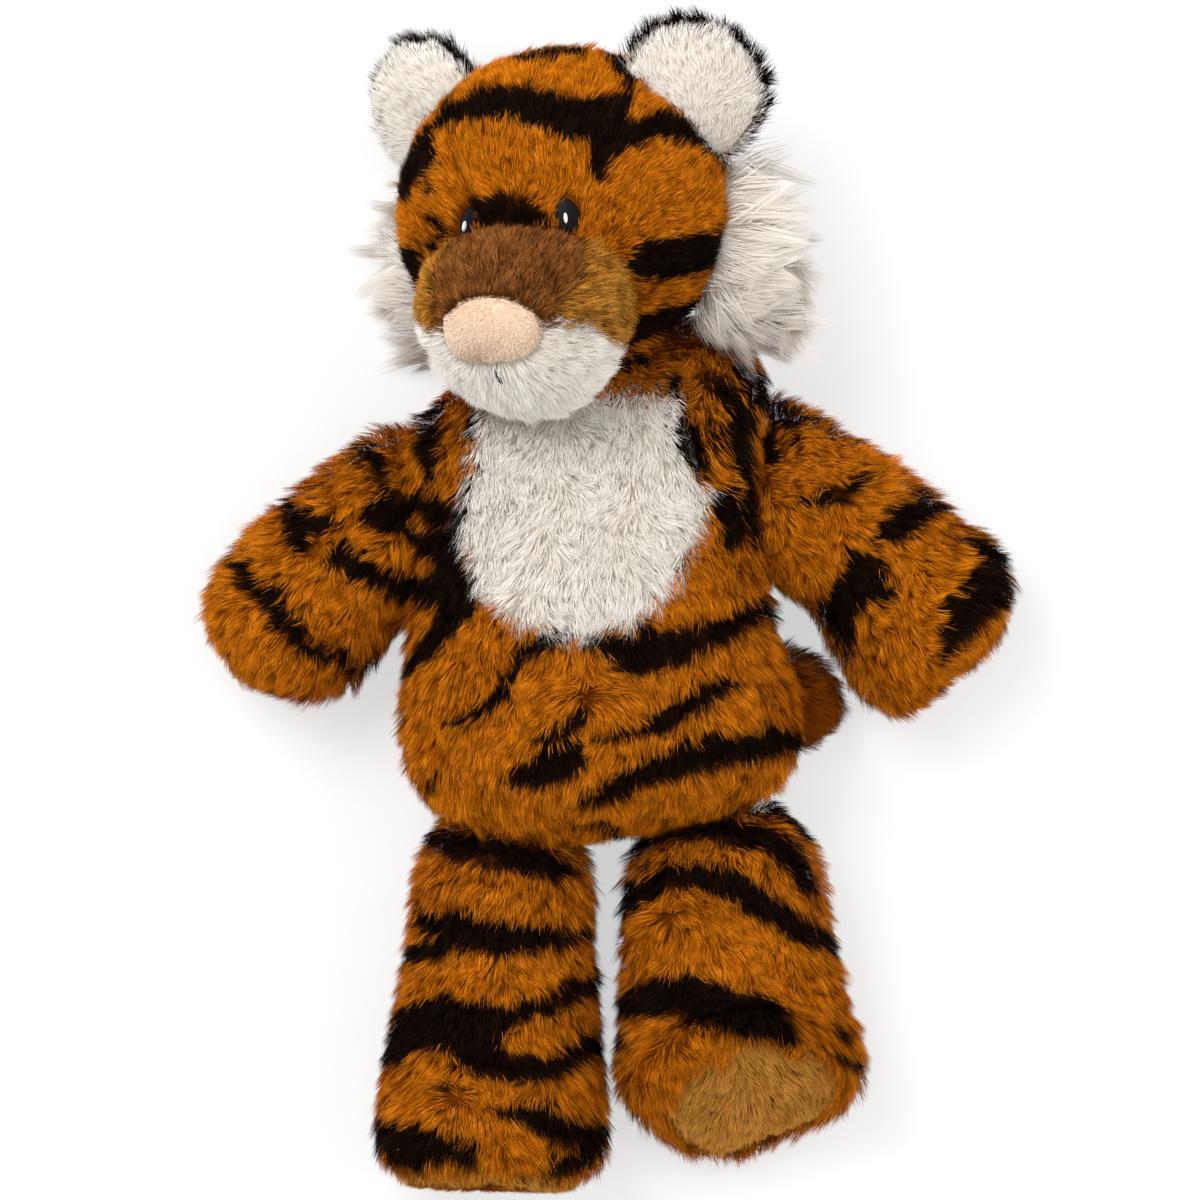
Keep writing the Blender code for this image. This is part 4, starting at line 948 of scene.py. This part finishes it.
def pressed_in(wad):
    """Makes a filling a little smaller than its cut shape, as the cloth round it presses it in."""
    places = places_of(wad.data)
    middle = (places.max(0) + places.min(0)) / 2
    wad.data.vertices.foreach_set("co", (middle + (places - middle) * PRESSED).astype(np.float32).ravel())


# Painted light: in both, a darker root colour for shade and a lighter tip colour for a highlight.
fibre_fill = plush("fibre_fill", (214, 212, 206), (240, 239, 236), (250, 250, 250), scale=240.0, depth=0.5)
pellet_cloth = plush(
    "pellet_cloth", (150, 146, 138), (206, 202, 192), (224, 220, 212), scale=420.0, depth=0.6)
STUFFED = {"torso": "torso", "head": "head", "muzzle": "head", "arm_left": "arm_left",
           "arm_right": "arm_right", "leg_left": "leg_left", "leg_right": "leg_right"}
for part, body in STUFFED.items():
    wad = cloth_from(part + "_stuffing", part + "_fibre", rounds=0)
    pressed_in(wad)
    ground(wad, None)
    dress(part, body, fibre_fill, "fibre_fill", wad)
for part, body in (("seat", "torso"), ("arm_left", "arm_left"), ("arm_right", "arm_right"),
                   ("leg_left", "leg_left"), ("leg_right", "leg_right")):
    pouch = cloth_from(part + "_pellet_pouch", part + "_pellets", rounds=0)
    pressed_in(pouch)
    ground(pouch, None)
    dress(body, body, pellet_cloth, "pellet_cloth", pouch)


# Where it lies. A plain pale floor with the soft light of a product table: one wide lamp up to the
# left, a weaker one to the right and a white surround, and the camera straight above.

FLOOR_SIZE = 6
FLOOR_DROP = 0.05 * MM
FLOOR_GREY = (0.86, 0.86, 0.86, 1)
WHITE = (1, 1, 1, 1)
GLOW_SHARE = 0.55
bpy.ops.object.select_all(action="DESELECT")
bpy.ops.mesh.primitive_plane_add(size=FLOOR_SIZE, location=(0, 0, -FLOOR_DROP))
floor = bpy.context.active_object
floor.name = "floor"
paper = bpy.data.materials.new("paper")
paper.use_nodes = True
tree = paper.node_tree
surface = tree.nodes["Principled BSDF"]
surface.inputs["Base Color"].default_value = FLOOR_GREY
surface.inputs["Roughness"].default_value = 0.9
# To the camera and in reflections the paper also glows, so that it comes out nearly white. What it
# throws back on the toy is its own colour.
seen = shader_node(tree, "ShaderNodeLightPath", (-4, 2))
direct, mirrored, through = (seen.outputs[f"Is {kind} Ray"] for kind in ("Camera", "Glossy", "Transmission"))
either = worked_out(tree, (-3, 2), "MAXIMUM", direct, mirrored)
any_of_them = worked_out(tree, (-2, 2), "MAXIMUM", either, through)
share = worked_out(tree, (-1, 2), "MULTIPLY", any_of_them, GLOW_SHARE)
glow = shader_node(tree, "ShaderNodeEmission", (0, 2), Color=WHITE, Strength=1.08)
both = shader_node(tree, "ShaderNodeMixShader", (1, 1))
for k, feeding in enumerate((share, surface.outputs[0], glow.outputs[0])):
    tree.links.new(feeding, both.inputs[k])
tree.links.new(both.outputs[0], tree.nodes["Material Output"].inputs["Surface"])
floor.data.materials.append(paper)

surround = bpy.data.worlds.new("surround")
bpy.context.scene.world = surround
surround.use_nodes = True
background = surround.node_tree.nodes["Background"]
background.inputs["Color"].default_value = WHITE
background.inputs["Strength"].default_value = 0.72
for name, place, size, power in (
        ("key_lamp", (-1.0, 1.1, 1.9), 1.3, 38), ("fill_lamp", (1.5, 0.2, 1.5), 1.5, 12)):
    lamp = bpy.data.lights.new(name, "AREA")
    lamp.size = size
    lamp.energy = power
    holder = bpy.data.objects.new(name, lamp)
    holder.location = place
    holder.rotation_euler = (-Vector(place)).to_track_quat("-Z", "Y").to_euler()
    bpy.context.scene.collection.objects.link(holder)

# The photograph shows a square of 336 mm at the height of the belly and the face.
PHOTO_MIDDLE = (2.24 * MM, 5.04 * MM)
PHOTO_WIDTH = 336 * MM
SHOWN_HEIGHT = 30 * MM
CAMERA_HEIGHT = 3.0
FILM_WIDTH = 36
camera = bpy.data.cameras.new("camera")
camera.sensor_width = FILM_WIDTH
camera.lens = FILM_WIDTH * (CAMERA_HEIGHT - SHOWN_HEIGHT) / PHOTO_WIDTH
camera.clip_end = 20
eye = bpy.data.objects.new("camera", camera)
eye.location = (*PHOTO_MIDDLE, CAMERA_HEIGHT)
bpy.context.scene.collection.objects.link(eye)
bpy.context.scene.camera = eye
bpy.context.scene.view_settings.view_transform = "Standard"
